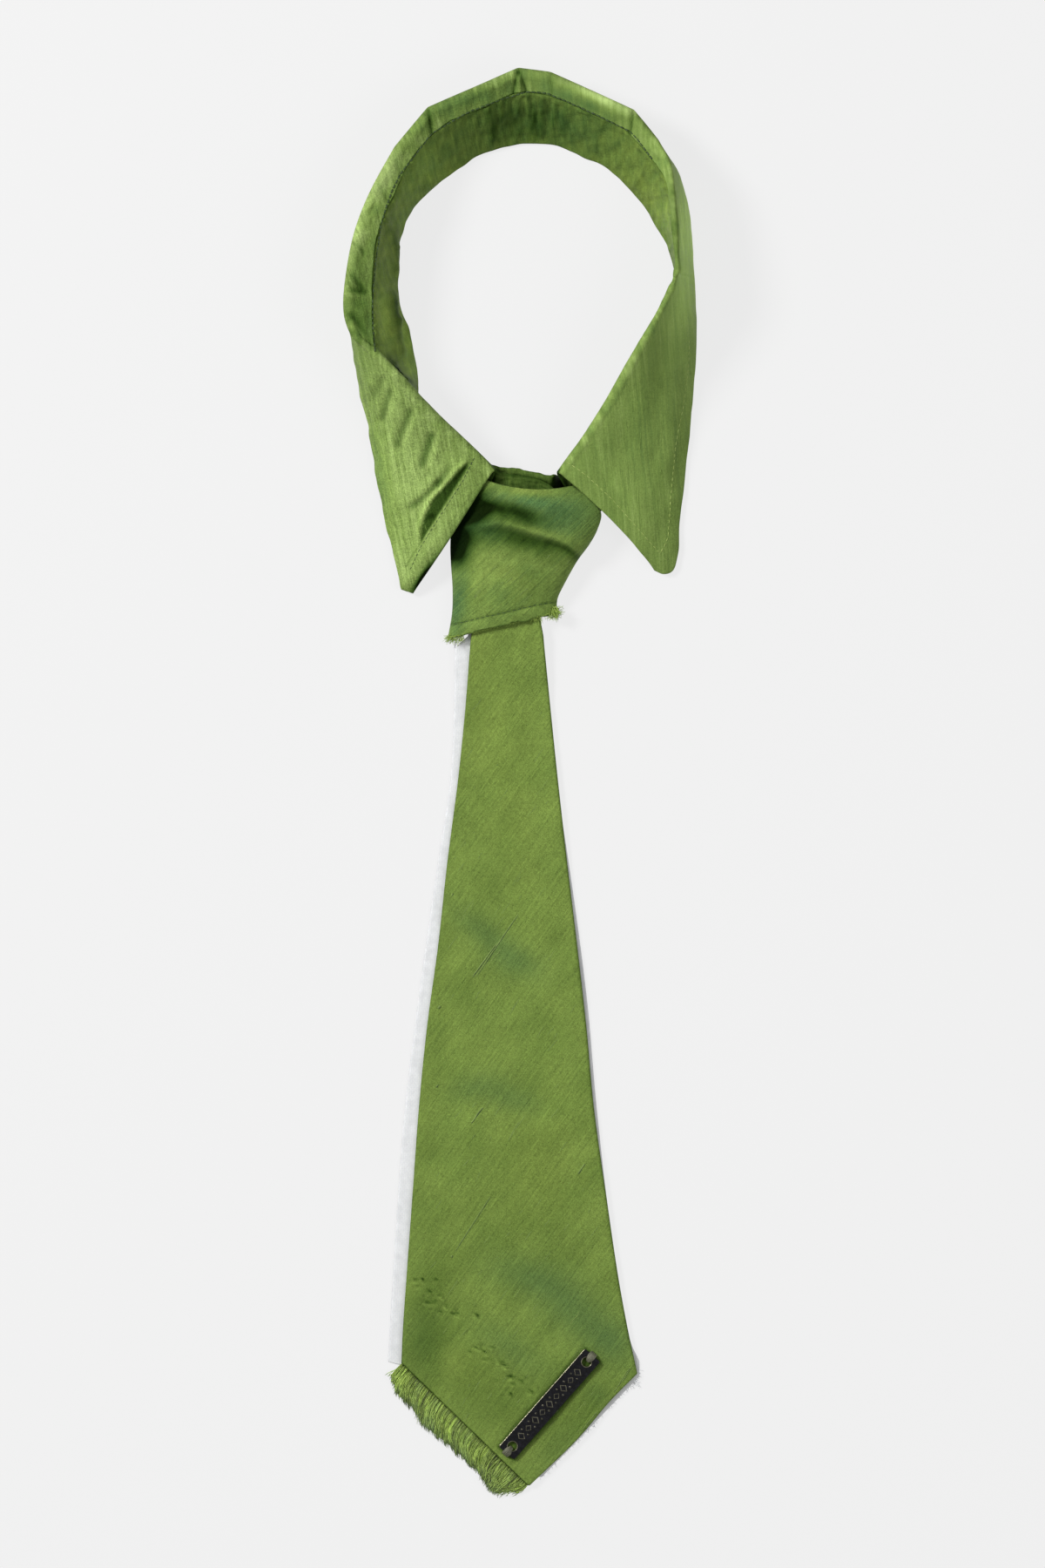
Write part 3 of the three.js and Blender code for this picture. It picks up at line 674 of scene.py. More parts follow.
def silk(name, base, pale, deep, teal, streak=0.1, grit=0.26, fibre=0.06, turn=0.25, gloss=0.12):
    """Slubbed shot silk: threads along the grain, a fine cross weave, clouds and turning patches, darkened
    and lightened by the painted shade and light of its tone.
    """
    s = Shader(name)
    grain, place = s.grain(), s.place()
    colour = s.clouds(s.noise(place, 55.0, detail=4.0), 0.35, 0.68, deep, base)
    slub = s.noise(grain, 0.9, (0.04, 1, 1), detail=4.0, roughness=0.7)
    thread = s.noise(grain, 2.0, (fibre, 1, 1), detail=3.0, roughness=0.75)
    cross = s.noise(grain, 2.4, (1, 0.12, 1), detail=2.0, roughness=0.6)
    speckle = s.noise(place, 2300.0, detail=2.0, roughness=0.7)
    fleck = s.noise(place, 850.0, detail=2.0, roughness=0.6)
    mottle = s.noise(place, 210.0, detail=3.0, roughness=0.65)
    tint = s.math("ADD", s.attribute("tint"), s.span(slub, 0.3, 0.7, turn, -turn))
    colour = s.toward(s.toward(colour, teal, tint), pale, tint, -1.0)
    fields = ((1.6 * streak, slub), (1.5 * streak, thread), (0.5 * streak, cross), (grit, speckle),
              (0.42 * grit, fleck), (0.16 * grit, mottle))
    rough = 0.0
    for amount, field in fields:
        rough = s.math("ADD", rough, s.span(field, 0.25, 0.75, -amount, amount))
    # The tone attribute is painted shade and light: it scales the silk's value, and its deepest painted shade
    # turns the colour greener.
    coarse, tone = s.attribute("coarse"), s.attribute("tone")
    value = s.math("ADD", 1.0, s.math("MULTIPLY", coarse, rough))
    value = s.math("MULTIPLY", value, s.math("SUBTRACT", 1.0, tone))
    depth = s.math("POWER", s.math("MAXIMUM", tone, 0.0), 1.6, clamp=True)
    colour = s.mix(depth, colour, (0.55, 1.0, 0.45, 1), "MULTIPLY")
    colour = s.lit(colour, s.math("MAXIMUM", value, 0.02))
    height = s.total((0.6, thread), (0.4, cross), (0.6, slub), (0.5, fleck))
    return s.finish(Base_Color=colour, Normal=s.bump(s.math("MULTIPLY", height, coarse), 0.6, 0.0006),
                    Roughness=s.span(thread, 0.3, 0.7, 0.42, 0.62), Specular_IOR_Level=gloss,
                    Specular_Tint=paint(214, 236, 140))


def thread_material(name, base, pale, teal):
    """Twisted thread, teal where its tint says so, with painted shade and light from its tone."""
    s = Shader(name)
    place = s.place()
    colour = s.clouds(s.noise(place, 900.0), 0.35, 0.65, base, pale)
    colour = s.toward(colour, teal, s.attribute("tint"))
    colour = s.lit(colour, s.math("SUBTRACT", 1.0, s.attribute("tone")))
    twist = s.noise(place, 3000.0, detail=1.0)
    return s.finish(Base_Color=colour, Normal=s.bump(twist, 0.3, 0.0001), Roughness=0.6)


def backing_material():
    """White cloth with a fine broken rib along the blade."""
    s = Shader("backing_white")
    brick = {"Vector": s.grain(), "Scale": 1.0, "Mortar Size": 0.12, "Mortar Smooth": 0.6,
             "Brick Width": 1.5, "Row Height": 0.62}
    dash = s.add("TexBrick", brick).outputs["Fac"]
    colour = s.clouds(s.noise(s.place(), 400.0), 0.35, 0.65, (216, 217, 217), (228, 229, 229))
    colour = s.mix(s.math("MULTIPLY", dash, 0.35), colour, paint(196, 200, 208))
    return s.finish(Base_Color=colour, Normal=s.bump(dash, -0.4, 0.0002), Roughness=0.9)


def bar_material():
    """Black lacquered metal with painted highlights of dull gold where its tint says so."""
    s = Shader("bar_black")
    wear = s.noise(s.place(), 700.0, detail=5.0, roughness=0.7)
    colour = s.clouds(wear, 0.45, 0.7, (12, 12, 16), (30, 30, 40))
    glints = s.math("MULTIPLY", s.attribute("tint"), s.span(wear, 0.3, 0.6, 0.3, 1))
    colour = s.mix(glints, colour, paint(176, 172, 140))
    return s.finish(Base_Color=colour, Normal=s.bump(wear, 0.25, 0.0002), Metallic=0.6, Coat_Weight=0.4,
                    Roughness=s.span(wear, 0.3, 0.7, 0.16, 0.36))


def button_material():
    """The plain green of the hidden button."""
    s = Shader("button_green")
    cloud = s.noise(s.place(), 600.0)
    colour = s.clouds(cloud, 0.3, 0.7, (60, 78, 40), (80, 98, 52))
    return s.finish(Base_Color=colour, Normal=s.bump(cloud, 0.1, 0.0002), Roughness=0.45)


LEAF_SILK = silk("leaf_silk", (124, 148, 76), (164, 186, 114), (113, 137, 68), (88, 120, 66),
                 fibre=0.12, gloss=0.04)
STAND_SILK = silk("stand_silk", (108, 130, 60), (122, 140, 64), (96, 118, 54), (74, 102, 50),
                  fibre=0.1, gloss=0.03)
KNOT_SILK = silk("knot_silk", (121, 145, 73), (134, 150, 74), (106, 130, 62), (68, 102, 62),
                 grit=0.32, gloss=0.05)
BLADE_SILK = silk("blade_silk", (119, 141, 67), (128, 146, 66), (108, 131, 61), (88, 115, 62),
                  grit=0.32, turn=0.1)
FRINGE_SILK = thread_material("fringe_silk", (128, 156, 60), (162, 188, 82), (118, 142, 96))
# The slub thread is darker than the silk around it: painted shade along the slubs.
SLUB_SILK = thread_material("slub_silk", (96, 120, 48), (120, 144, 62), (88, 118, 60))
LIGHT_THREAD = thread_material("stitch_light", (150, 170, 84), (170, 188, 104), (120, 140, 70))
# Dark stitching thread, also laid beside the blade's slubs as their painted shadows.
DARK_THREAD_AND_SHADOW = thread_material("stitch_dark_and_slub_shadow", (40, 62, 22), (58, 82, 34), (30, 50, 24))
BACKING_THREAD = thread_material("backing_thread", (200, 204, 206), (232, 234, 236), (150, 156, 150))
GREY_THREAD = thread_material("bar_thread", (96, 97, 78), (128, 128, 106), (60, 60, 48))
BACKING_WHITE = backing_material()


# The collar


def vectors(values, x, y, z=None):
    """Points from named columns, at height 0 without a third name."""
    height = values[z] if z else np.zeros_like(values[x])
    return np.stack([values[x], values[y], height], -1)


STRIP_SHARES = [0, 0.02, 0.05, *np.linspace(0.1, 0.93, 14)]
ARC_STEPS = 11
FALL_SHARES = [*np.linspace(0.02, 0.95, 44), 0.965, 0.978, 0.988, 0.994, 0.998, 1]
FALL_FROM = len(STRIP_SHARES) + ARC_STEPS
STRIP_TO = FALL_FROM - 5
ROLL_COLUMN = len(STRIP_SHARES) + ARC_STEPS / 2
FRONT_BULGE = 1.5
# Seen from above: the seam shows from one y upward, the band's lapped ends lie below another
SEAM_FROM_Y = 156
TAB_BELOW_Y = 118
RING_CENTRE = (6.0, 176.0)


def seam_table():
    """The seam and the foot as smooth curves, without the corners of the roll line."""
    share = COLLAR["share"]
    columns = {"corner": 0 * share, "footX": COLLAR["footX"], "footY": COLLAR["footY"],
               "seamZ": COLLAR["rollZ"] - COLLAR["drop"]}
    for axis in "XY":
        roll = COLLAR["roll" + axis]
        columns["seam" + axis] = roll + (COLLAR["foot" + axis] - roll) * share
    return columns


SEAM = seam_table()


def leaf_grid(at):
    """Points of the leaf's middle from the seam over the roll to the free edge, a row for each station."""
    values, smoother = along(COLLAR, at), along(SEAM, at)
    roll = vectors(values, "rollX", "rollY", "rollZ")
    seam = vectors(smoother, "seamX", "seamY", "seamZ")
    edge = vectors(values, "edgeX", "edgeY", "edgeZ")
    to_seam, to_edge = unit(seam - roll), unit(edge - roll)
    outward = -unit(to_seam + to_edge)
    inner = unit(to_seam - to_edge)
    x, y = roll[:, :1], roll[:, 1:2]
    radius = ROLL_RADIUS - 1.1 * smooth(44, 52, x) * smooth(158, 180, y)
    radius -= 0.6 * between(145, 152, 164, 172, y) * smooth(40, 50, -x)
    centre = roll - outward * (radius + COLLAR_WALL / 2)

    def on_arc(degrees):
        turn = math.radians(degrees)
        return centre + radius * (inner * math.cos(turn) + outward * math.sin(turn))

    columns = [seam + (on_arc(0) - seam) * share for share in STRIP_SHARES]
    columns += [on_arc(degrees) for degrees in np.linspace(0, 180, ARC_STEPS)]
    start = on_arc(180)
    bulge = FRONT_BULGE * (1 - smooth(0, 2, at))
    across = unit(np.stack([to_edge[:, 1], -to_edge[:, 0], 0 * to_edge[:, 0]], -1))
    for share in FALL_SHARES:
        bow = values["belly"] * (math.sin(math.pi * share) ** 0.8 if share < 1 else 0)
        point = start + (edge - start) * share - inner * bow[:, None]
        columns.append(point - across * (bulge * math.sin(math.pi * share))[:, None])
    return np.stack(columns, axis=1)


def straight_grain(points, degrees):
    """Grain that runs one way all over a cloth."""
    return np.stack(turned(points[..., 0], points[..., 1], math.radians(degrees)), -1)


def collar_grain(points):
    """Grain that runs up the collar and leans a little outward on each side."""
    x, y = points[..., 0], points[..., 1]
    lean = 0.14 - 0.0011 * x
    return np.stack([y * np.cos(lean) - x * np.sin(lean), x * np.cos(lean) + (y - 110) * np.sin(lean)], -1)


def pleat(x, y):
    """The flat pleat beside the left leaf's topstitching: a lens-shaped recess with a raised lip. Gives its
    relief, and its painted shade in the recess and along the stitches with painted light on the lip.
    """
    top, foot = np.array([-16.6, 120.2]), np.array([-37.2, 87.0])
    s, d = beside(x, y, top, foot)
    s = s / np.linalg.norm(foot - top)
    width = np.interp(s, [0, 0.2, 0.4, 0.57, 0.74, 0.83, 0.91, 1], [0.3, 2.2, 3.4, 4.8, 4.0, 3.2, 1.6, 0])
    inside = between(-0.3, 0.5, width - 0.5, width + 0.2, d)
    lip = hump(d - width - 0.8, 1.0) * between(0.02, 0.15, 0.8, 1.0, s)
    ends = (s > 0) & (s < 1)
    stitched = 0.9 * hump(d + 0.1, 0.35) * smooth(0.05, 0.12, s) * (s < 1.25)
    relief = np.where(ends, -0.75 * inside * smooth(0, 1.2, width), 0) + 0.85 * lip * ends
    return relief, np.where(ends, inside - 0.6 * lip, 0) + stitched


def leaf_relief(x, y, column, groove):
    """The height of the folds in the leaf and its inner strip, and of all the relief, crumples too."""
    fall = (column >= FALL_FROM) * smooth(-1, 3, column - FALL_FROM)
    folds = fall * (1 - smooth(150, 175, y)) * (fold_relief(LEAF_FOLDS, x, y) + groove)
    folds += (column < STRIP_TO) * smooth(0, 3, column) * fold_relief(STRIP_FOLDS, x, y)
    crumple = ripple(x, y * 0.6, 5, 3) * 0.12 + ripple(x * 1.3, y * 0.7, 2.6, 4) * 0.07
    crumple *= np.where(column < FALL_FROM, 1.0, np.where(x < 0, 0.8, 0.25))
    crumple += 0.12 * ripple(x, y, 14, 5) * np.where(x > 0, 0.6, 1)
    return folds, folds + crumple * smooth(1, 8, np.abs(column - ROLL_COLUMN))


def leaf_tone(x, y, column, folds):
    """The painted shade and light of the strip and the fall: painted shade along the seam's gap and in the
    grooves, painted light along the roll, on the ridges and over the crevice at the right.
    """
    in_strip = 1.0 - smooth(-5, 1, column - FALL_FROM)
    tone = patches_at(STRIP_TONES, x, y) * in_strip + patches_at(FALL_TONES, x, y) * (1 - in_strip)
    seam_line = between(-54, -52.5, 51.8, 53.5, x) + (x < -53) * smooth(157, 159, y)
    tone += 0.95 * seam_line * (1 - smooth(0, 3, column)) * (y > SEAM_FROM_Y)
    tone -= 0.1 * hump(column - ROLL_COLUMN, 3) * (1 + ripple(x, y, 3, 7))
    tone -= 0.5 * smooth(53.5, 55, x) * (1 - smooth(0, 6, column)) * (y > 178)
    return tone + 0.62 * np.clip(-folds, 0, 1) - 0.28 * np.clip(folds, 0, 1)


def collar_leaf():
    """The turned-down fall, its roll and the strip inside that reaches the seam."""
    near = np.array([0, 0.015, 0.04, 0.08, 0.14, 0.22])
    last = len(COLLAR["corner"]) - 1
    runs = [(0.3, 2.5, 0.055), (2.5, last - 4.5, 0.052), (last - 4.5, last - 0.25, 0.07)]
    at = np.concatenate([near, *(np.arange(*run) for run in runs), last - near[::-1]])
    grid = leaf_grid(at)
    x, y = grid[..., 0], grid[..., 1]
    column = np.arange(grid.shape[1])[None, :]
    groove, recess = pleat(x, y)
    folds, relief = leaf_relief(x, y, column, groove)
    fall = (column >= FALL_FROM) * smooth(-1, 3, column - FALL_FROM)
    tint = patches_at(LEAF_PATCHES, x, y) + 0.15 * np.maximum(recess, 0) * fall
    tint += 0.1 * ripple(x, y, 7, 6) * (column < FALL_FROM)
    # Painted shade over the strip's ends where they go under, in the pleat, and on the fall at its left end.
    from_end = np.minimum(at, last - at)[:, None]
    hidden = (column < STRIP_TO) * (1 - smooth(0.6, 2.2, from_end))
    tone = leaf_tone(x, y, column, folds) + 0.38 * recess * fall + 0.8 * hidden
    tone += 0.4 * hump(at, 0.8)[:, None] * fall
    coarse = np.where(x < 0, 1.5, 0.7) * np.where(y > 150, 0.75, 1)
    looks = (collar_grain(grid), tint, tone, coarse)
    leaf = cloth_wall("leaf_cloth", grid, COLLAR_WALL, relief, looks, LEAF_SILK, "collar_silk", ("last",))
    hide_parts("collar_leaf")
    return leaf


def stand_grid(columns, at):
    """Points of the stand's middle from its foot to its top, a row for each station."""
    if columns is COLLAR:
        smoother = along(SEAM, at)
        foot = vectors(smoother, "footX", "footY")
        foot[:, 2] = COLLAR_WALL / 2 + 0.1
        seam = vectors(smoother, "seamX", "seamY", "seamZ")
        start = seam - unit(foot - seam) * SEAM_LAP
    else:
        values = along(columns, at)
        foot = vectors(values, "footX", "footY", "footZ")
        start = vectors(values, "rollX", "rollY", "rollZ")
    shares = np.concatenate([[0, 0.01, 0.025, 0.045], np.linspace(0.07, 0.93, 24), [0.955, 0.975, 0.99, 1]])
    return np.stack([foot + (start - foot) * share for share in shares], axis=1)


def stand_relief(x, y, share, folds):
    """The band's relief, its folds turned round because the inner side is the one that shows."""
    relief = -folds - 0.16 * ripple(x, y, 9, 11) - 0.14 * ripple(x * 1.2, y * 0.6, 4.2, 12)
    relief = relief - 0.07 * ripple(x * 1.5, y * 0.7, 2.2, 15)
    relief = relief * smooth(0, 0.2, share) * smooth(0, 0.08, 1 - share)
    hooped = between(0.72, 0.84, 0.9, 0.97, share) * smooth(125, 140, y)
    return relief - 0.25 * hooped * np.clip(ripple(x, y, 2.4, 23), -1, 1)


def wave_stand(grid, share):
    """Moves the band's foot in and out round the back, and the tops of its lapped ends up and down."""
    x, y = grid[..., 0], grid[..., 1]
    wave = 0.28 * ripple(x, y, 22, 13) + 0.10 * ripple(x, y, 8, 14)
    away = unit(grid[..., :2] - RING_CENTRE)
    grid[..., :2] += away * (wave * (1 - smooth(0, 0.25, share)) * smooth(152, 172, y))[..., None]
    layered = (1 - smooth(118, 124, y)) * smooth(0.5, 1, share)
    grid[..., 1] += layered * (0.28 * ripple(x, 0 * y, 9, 17) + 0.05 * ripple(x, 0 * y, 2.2, 18))


def tab_tone(x, y, share, is_under):
    """The painted shade of the lapped ends: all of them a little darker, painted shade at their tips in the
    hollows, and painted shadow lines along their plies.
    """
    tongue = np.interp(x, [-9, -5.9, 2.4, 7.5, 11.4, 13.2], [114.6, 112.8, 112, 111, 109.2, 107.3])
    ends = smooth(-8.5, -10.5, x) + is_under * smooth(10.6, 11.6, x) * (1 - smooth(112.2, 113, y))
    from_edge = y - tongue
    plies = hump(from_edge, 0.6) * np.where(is_under, 1, 0.8)
    for low, deep in ((1.5, 0.5), (2.9, 0.7), (4.2, 0.4)):
        plies += deep * hump(from_edge + low + 0.3 * ripple(x, 0 * y, 7, 20), 0.3) * ~is_under
    ends = ends * between(0.45, 0.8, 0.9, 0.96, share)
    return (y < TAB_BELOW_Y) * (0.24 + ends + 0.5 * plies)


def collar_stand():
    """The band: its lapped left end, the ring round the neck and the right end under the lap."""
    step = np.array([0, 0.02, 0.05, 0.1])
    tab = np.concatenate([step, np.arange(0.16, 6.01, 0.12)])
    ring = np.arange(0, len(COLLAR["corner"]) - 1 + 1e-6, 0.06)
    under = np.concatenate([np.arange(0, 6.85, 0.12), 7 - step[::-1]])
    parts = ((BAND_TAB, tab), (COLLAR, ring), (BAND_UNDER, under))
    grid = np.concatenate([stand_grid(*part) for part in parts])
    is_under = np.arange(len(grid))[:, None] >= len(tab) + len(ring)
    share = np.linspace(0, 1, grid.shape[1])[None, :]
    x, y = grid[..., 0], grid[..., 1]
    back = smooth(125, 140, y)
    folds = fold_relief(STAND_FOLDS, x, y) * back
    relief = stand_relief(x, y, share, folds)
    wave_stand(grid, share)
    tint = patches_at(STAND_PATCHES, x, y) + 0.12 * ripple(x, y, 5, 16) * back + 0.4 * (y < TAB_BELOW_Y)
    # Painted shade in the folds' grooves, under the seam and in the lapped ends, and painted light on the
    # ridges.
    tone = patches_at(STAND_TONES, x, y) + 0.3 * np.clip(-folds, 0, 1.5) - 0.12 * np.clip(folds, 0, 1)
    seam_shade = 0.12 * smooth(0.75, 1, share) + 0.4 * smooth(0.965, 0.99, share) * (1 - smooth(50, 53, x))
    tone += 0.06 * ripple(x * 1.3, y * 0.7, 2.6, 19) + seam_shade * back + tab_tone(x, y, share, is_under)
    looks = (collar_grain(grid), tint, np.minimum(tone, 0.9), 0.8)
    stand = cloth_wall("stand_cloth", grid, COLLAR_WALL, relief, looks, STAND_SILK, "collar_silk")
    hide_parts("collar_stand")
    return stand


# The knot


def knot_rings(values, inset, turns):
    """Rings of points round the sleeve, drawn in by an inset, and how far up each turn of a ring is."""
    left, right = vectors(values, "leftX", "leftY"), vectors(values, "rightX", "rightY")
    middle = (left + right) / 2
    half = (right - left) / 2
    reach = np.linalg.norm(half, axis=1) - inset
    across = unit(half)
    downward = np.stack([across[:, 1], -across[:, 0], np.zeros(len(across))], -1)
    crown, base = values["crown"] - inset, values["base"] + inset
    waist = base + 0.3 * (crown - base)
    side = np.cos(turns)
    share = np.sign(side) * np.abs(side) ** 0.85
    middle_y = middle[:, 1][:, None]
    tucked = smooth(0.1, 0.95, -side)[None, :] * between(74, 84, 100, 108, middle_y)
    up = np.maximum(np.sin(turns), 0)[None, :] ** (0.75 + 1.3 * tucked)
    down = np.maximum(-np.sin(turns), 0) ** 0.5
    rings = middle[:, None] + across[:, None] * (reach[:, None] * share)[..., None]
    rings = rings + downward[:, None] * (values["dip"][:, None] * (1 - share**2))[..., None]
    rings[..., 2] = waist[:, None] + (crown - waist)[:, None] * up - (waist - base)[:, None] * down
    return rings, up


def knot_lap(x, y):
    """The wrap's upper lap, which ends in a ridge over the lower one, and the hollow above that ridge: their
    relief, and their painted shade along and under the ridge and in the hollow, with painted light on the
    ridge's crest.
    """
    ridge = y - np.interp(x, [-26, -20.6, -7.2, 0.5, 10.1, 16.5, 21.6, 28],
                          [92, 93.6, 95.3, 93, 90.2, 87.6, 83.6, 78])
    valley = y - np.interp(x, [-26, -21.3, -9.1, -2.7, 6.2, 11.4, 20], [96, 98.1, 101, 99.8, 95.7, 94.2, 91])
    over = 0.35 + 0.65 * smooth(-20, 4, x)
    step = smooth(0, 3.4, -ridge) * np.exp(-np.maximum(-ridge - 3.4, 0) / 8)
    hollow = hump(valley, 2.9) * (1 - smooth(0, 14, x))
    relief = 0.9 * hump(ridge, 1.9) * over - 2.1 * step * over - 1.7 * hollow
    crease = ridge + 3.4 - 1.4 * smooth(6, 20, x)
    under = hump(crease, np.where(crease > 0, 1.9, 6.4 - 3.6 * smooth(6, 20, x))) * smooth(-26, -4, x)
    hollow = hump(valley, 3.4) * (1 - smooth(-2, 15, x))
    dull = 0.3 * hump(ridge, 3.5) * (1 - smooth(-4, 9, x))
    shade = dull + 0.62 * under + 0.84 * hollow * smooth(-30, -18, x) - 0.1 * hump(ridge, 1.3)
    return relief, shade


KNOT_LAST = len(KNOT["corner"]) - 1
HEM_LINE = np.array([(-24.6, 57.8), (-15.5, 60.0), (-4.0, 62.6), (6.6, 65.1), (12.2, 65.9)])


def knot_skin(values, at, inset, turns):
    """The points, the tint and the tone (painted shade and light) of the knot's outer skin, or of the inner
    one where there is an inset.
    """
    rings, up = knot_rings(values, inset, turns)
    x, y = rings[..., 0], rings[..., 1]
    lap, shade = knot_lap(x, y)
    above_hem = 1 - smooth(6.2, 7.2, at)[:, None]
    to_hem = y - np.interp(x, HEM_LINE[:, 0], HEM_LINE[:, 1])
    relief = (fold_relief(KNOT_FOLDS, x, y) + lap) * above_hem - 0.3 * hump(to_hem, 0.6)
    relief += 0.12 * ripple(x, y, 12, 21) + 0.05 * ripple(x, y, 5, 22)
    rings[..., 2] = np.maximum(rings[..., 2] + up * relief, inset)
    ragged = 0.18 * ripple(x, y, 6, 24) + 0.12 * ripple(x, y, 1.6, 25)
    rings[..., 1] -= smooth(7.4, KNOT_LAST, at)[:, None] * ragged
    near_end = np.minimum(at, KNOT_LAST - at) * 6
    thin = 0.65 * (1 - np.sqrt(1 - np.clip(1 - near_end / EDGE_ROUND, 0, 1) ** 2))
    rings[..., 2] += (thin[:, None] * (1 if inset else -1)) * np.sign(np.sin(turns))[None, :] * 0.5
    tint = patches_at(KNOT_PATCHES, x, y)
    tone = patches_at(KNOT_TONES, x, y) + shade * above_hem + 0.03 * ripple(x, y, 6, 26)
    # Painted shade in the groove along the hem, painted light just below it, and painted shade toward the raw
    # edge of the lower mouth.
    tone += 0.3 * hump(to_hem, 0.45) - 0.1 * hump(to_hem + 1.4, 0.8)
    tone += 0.35 * smooth(7.85, KNOT_LAST, at)[:, None]
    return rings, tint, np.minimum(tone, 0.94)


def knot():
    """The hollow wrap, an outer and an inner skin joined at both mouths."""
    turns = np.concatenate([np.linspace(0, math.pi, 150), np.linspace(math.pi, math.tau, 52)[1:-1]])
    at = np.concatenate([[0, 0.03, 0.07], np.arange(0.12, 7.9, 0.07), [7.93, 7.97, KNOT_LAST]])
    values = along(KNOT, at)
    outer, tint, tone = knot_skin(values, at, 0, turns)
    inner = knot_skin(values, at, KNOT_WALL, turns)[0]
    count = outer.shape[0] * outer.shape[1]
    ids = np.arange(count).reshape(outer.shape[:2])
    ring = np.hstack([ids, ids[:, :1]])
    upper, lower = (np.stack([m[:-1], m[1:], m[1:] + count, m[:-1] + count], -1) for m in (ring[0], ring[-1]))
    faces = np.vstack([quads(ring)[:, ::-1], quads(ring + count), upper[:, ::-1], lower])
    points = np.vstack([outer.reshape(-1, 3), inner.reshape(-1, 3)])
    grain = straight_grain(points, KNOT_GRAIN)
    looks = (np.tile(values.ravel(), 2) for values in (tint, tone, np.ones_like(tone)))
    piece = mesh_piece("knot_cloth", points, faces, KNOT_SILK, "tie_silk", grain, *looks)
    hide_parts("knot")
    return piece


# The blade


def sheet_grid(columns, stations, across, wall):
    """Points of a flat sheet's middle between its left and right edges, a row for each station."""
    values = along(columns, stations)
    share = across[None, :]
    x = values["left"][:, None] * (1 - share) + values["right"][:, None] * share
    y = np.broadcast_to(values["y"][:, None], x.shape)
    z = np.broadcast_to(np.maximum(values["height"], 0)[:, None] + wall / 2, x.shape)
    return np.stack([x, y, z], -1)


def edge_dense(steps, near):
    """Shares from 0 to 1 in even steps, with closer ones near both ends."""
    near = np.array(near)
    inner = np.linspace(0, 1, steps + 1)[1:-1]
    inner = inner[(inner > near[-1]) & (inner < 1 - near[-1])]
    return np.concatenate([[0], near, inner, 1 - near[::-1], [1]])


def puckers(x, y):
    """Rows of little dimples left by unpicked stitches near the hem: their height and their painted shade,
    dark on one side of each rim and light on the other.
    """
    rng = np.random.default_rng(31)
    height, shade = np.zeros_like(x), np.zeros_like(x)
    seams = ((-38, -184, -19, -199, 17, 2.2), (-17, -207, 0.5, -224, 20, 2.6))
    for from_x, from_y, to_x, to_y, count, spread in seams:
        start, run = np.array([from_x, from_y]), np.array([to_x - from_x, to_y - from_y])
        for share in np.linspace(0, 1, count):
            px, py = start + share * run + rng.normal(0, spread, 2)
            reach, deep = rng.uniform(0.6, 1.0), rng.uniform(0.4, 1)
            turn = rng.uniform(0.6, 1.6)
            away = np.hypot(x - px, y - py)
            arc = np.cos(np.arctan2(y - py, x - px) - turn)
            ring = hump(away - reach, 0.3) * deep
            height += 0.45 * ring - 0.55 * deep * hump(away, reach)
            shade += ring * np.where(arc > 0, 0.85 * arc, 0.5 * arc)
    return height, shade


def blade_tone(x, y, pit_shade):
    """The painted shade of the blade: shade patches, the dimples' painted shade and light, painted shade
    lines along its edges and the hem, and the bar's painted shadow.
    """
    tone = patches_at(BLADE_TONES, x, y) + 0.03 * ripple(x, y, 18, 43) + pit_shade
    to_right = x[:, -1:] - x
    low = 1 - smooth(-220, -205, y)
    tone += 0.3 * hump(to_right, 0.8) * (1 - low) + 0.22 * hump(x - x[:, :1], 0.5)
    tone += low * (0.14 * hump(to_right - 3.4, 0.4) - 0.08 * hump(to_right - 2.6, 0.5))
    tone += 0.5 * hump(beside(x, y, HEM_START, HEM_END)[1], 0.35) * (y < -205)
    along_bar, across_bar = turned(x - PLATE_PLACE["x"], y - PLATE_PLACE["y"], PLATE_PLACE["turn"])
    from_bar = np.maximum(np.abs(along_bar) - PLATE["length"] / 2, np.abs(across_bar) - PLATE["width"] / 2)
    return tone + 0.5 * hump(np.maximum(from_bar, 0), 0.7)


def blade():
    """The silk blade with its gentle waves and dimples."""
    last = len(BLADE["corner"]) - 1
    at = np.concatenate([[0, 0.02], np.arange(0.06, 2, 0.1), np.arange(2, 4, 0.08), np.arange(4, 12, 0.034),
                         np.arange(12, last - 0.05, 0.06), [last - 0.03, last]])
    grid = sheet_grid(BLADE, at, edge_dense(78, [0.003, 0.008, 0.015, 0.025]), BLADE_WALL)[::-1]
    x, y = grid[..., 0], grid[..., 1]
    relief = np.maximum(fold_relief(BLADE_FOLDS, x, y), -0.2)
    dimples, pit_shade = puckers(x, y)
    relief += 0.16 * (1 + ripple(x, y, 30, 41)) / 1.5 + 0.05 * ripple(x, y, 9, 42) + dimples
    relief *= smooth(62, 45, y)
    looks = (straight_grain(grid, BLADE_GRAIN), patches_at(BLADE_PATCHES, x, y), blade_tone(x, y, pit_shade), 1.0)
    piece = cloth_wall("blade_cloth", grid, BLADE_WALL, relief, looks, BLADE_SILK, "tie_silk")
    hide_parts("blade_front")
    return piece


def backing():
    """The white cloth under the blade."""
    last = len(BACKING["corner"]) - 1
    at = np.arange(0, last + 1e-6, 0.08)
    grid = sheet_grid(BACKING, at, edge_dense(40, [0.004, 0.01, 0.02]), BACKING_WALL)[::-1]
    relief = 0.03 * ripple(grid[..., 0], grid[..., 1], 12, 51)
    looks = (straight_grain(grid, BACKING_GRAIN),)
    piece = cloth_wall("backing_cloth", grid, BACKING_WALL, relief, looks, BACKING_WHITE, "backing_cloth")
    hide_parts("blade_backing")
    return piece


# The fringe


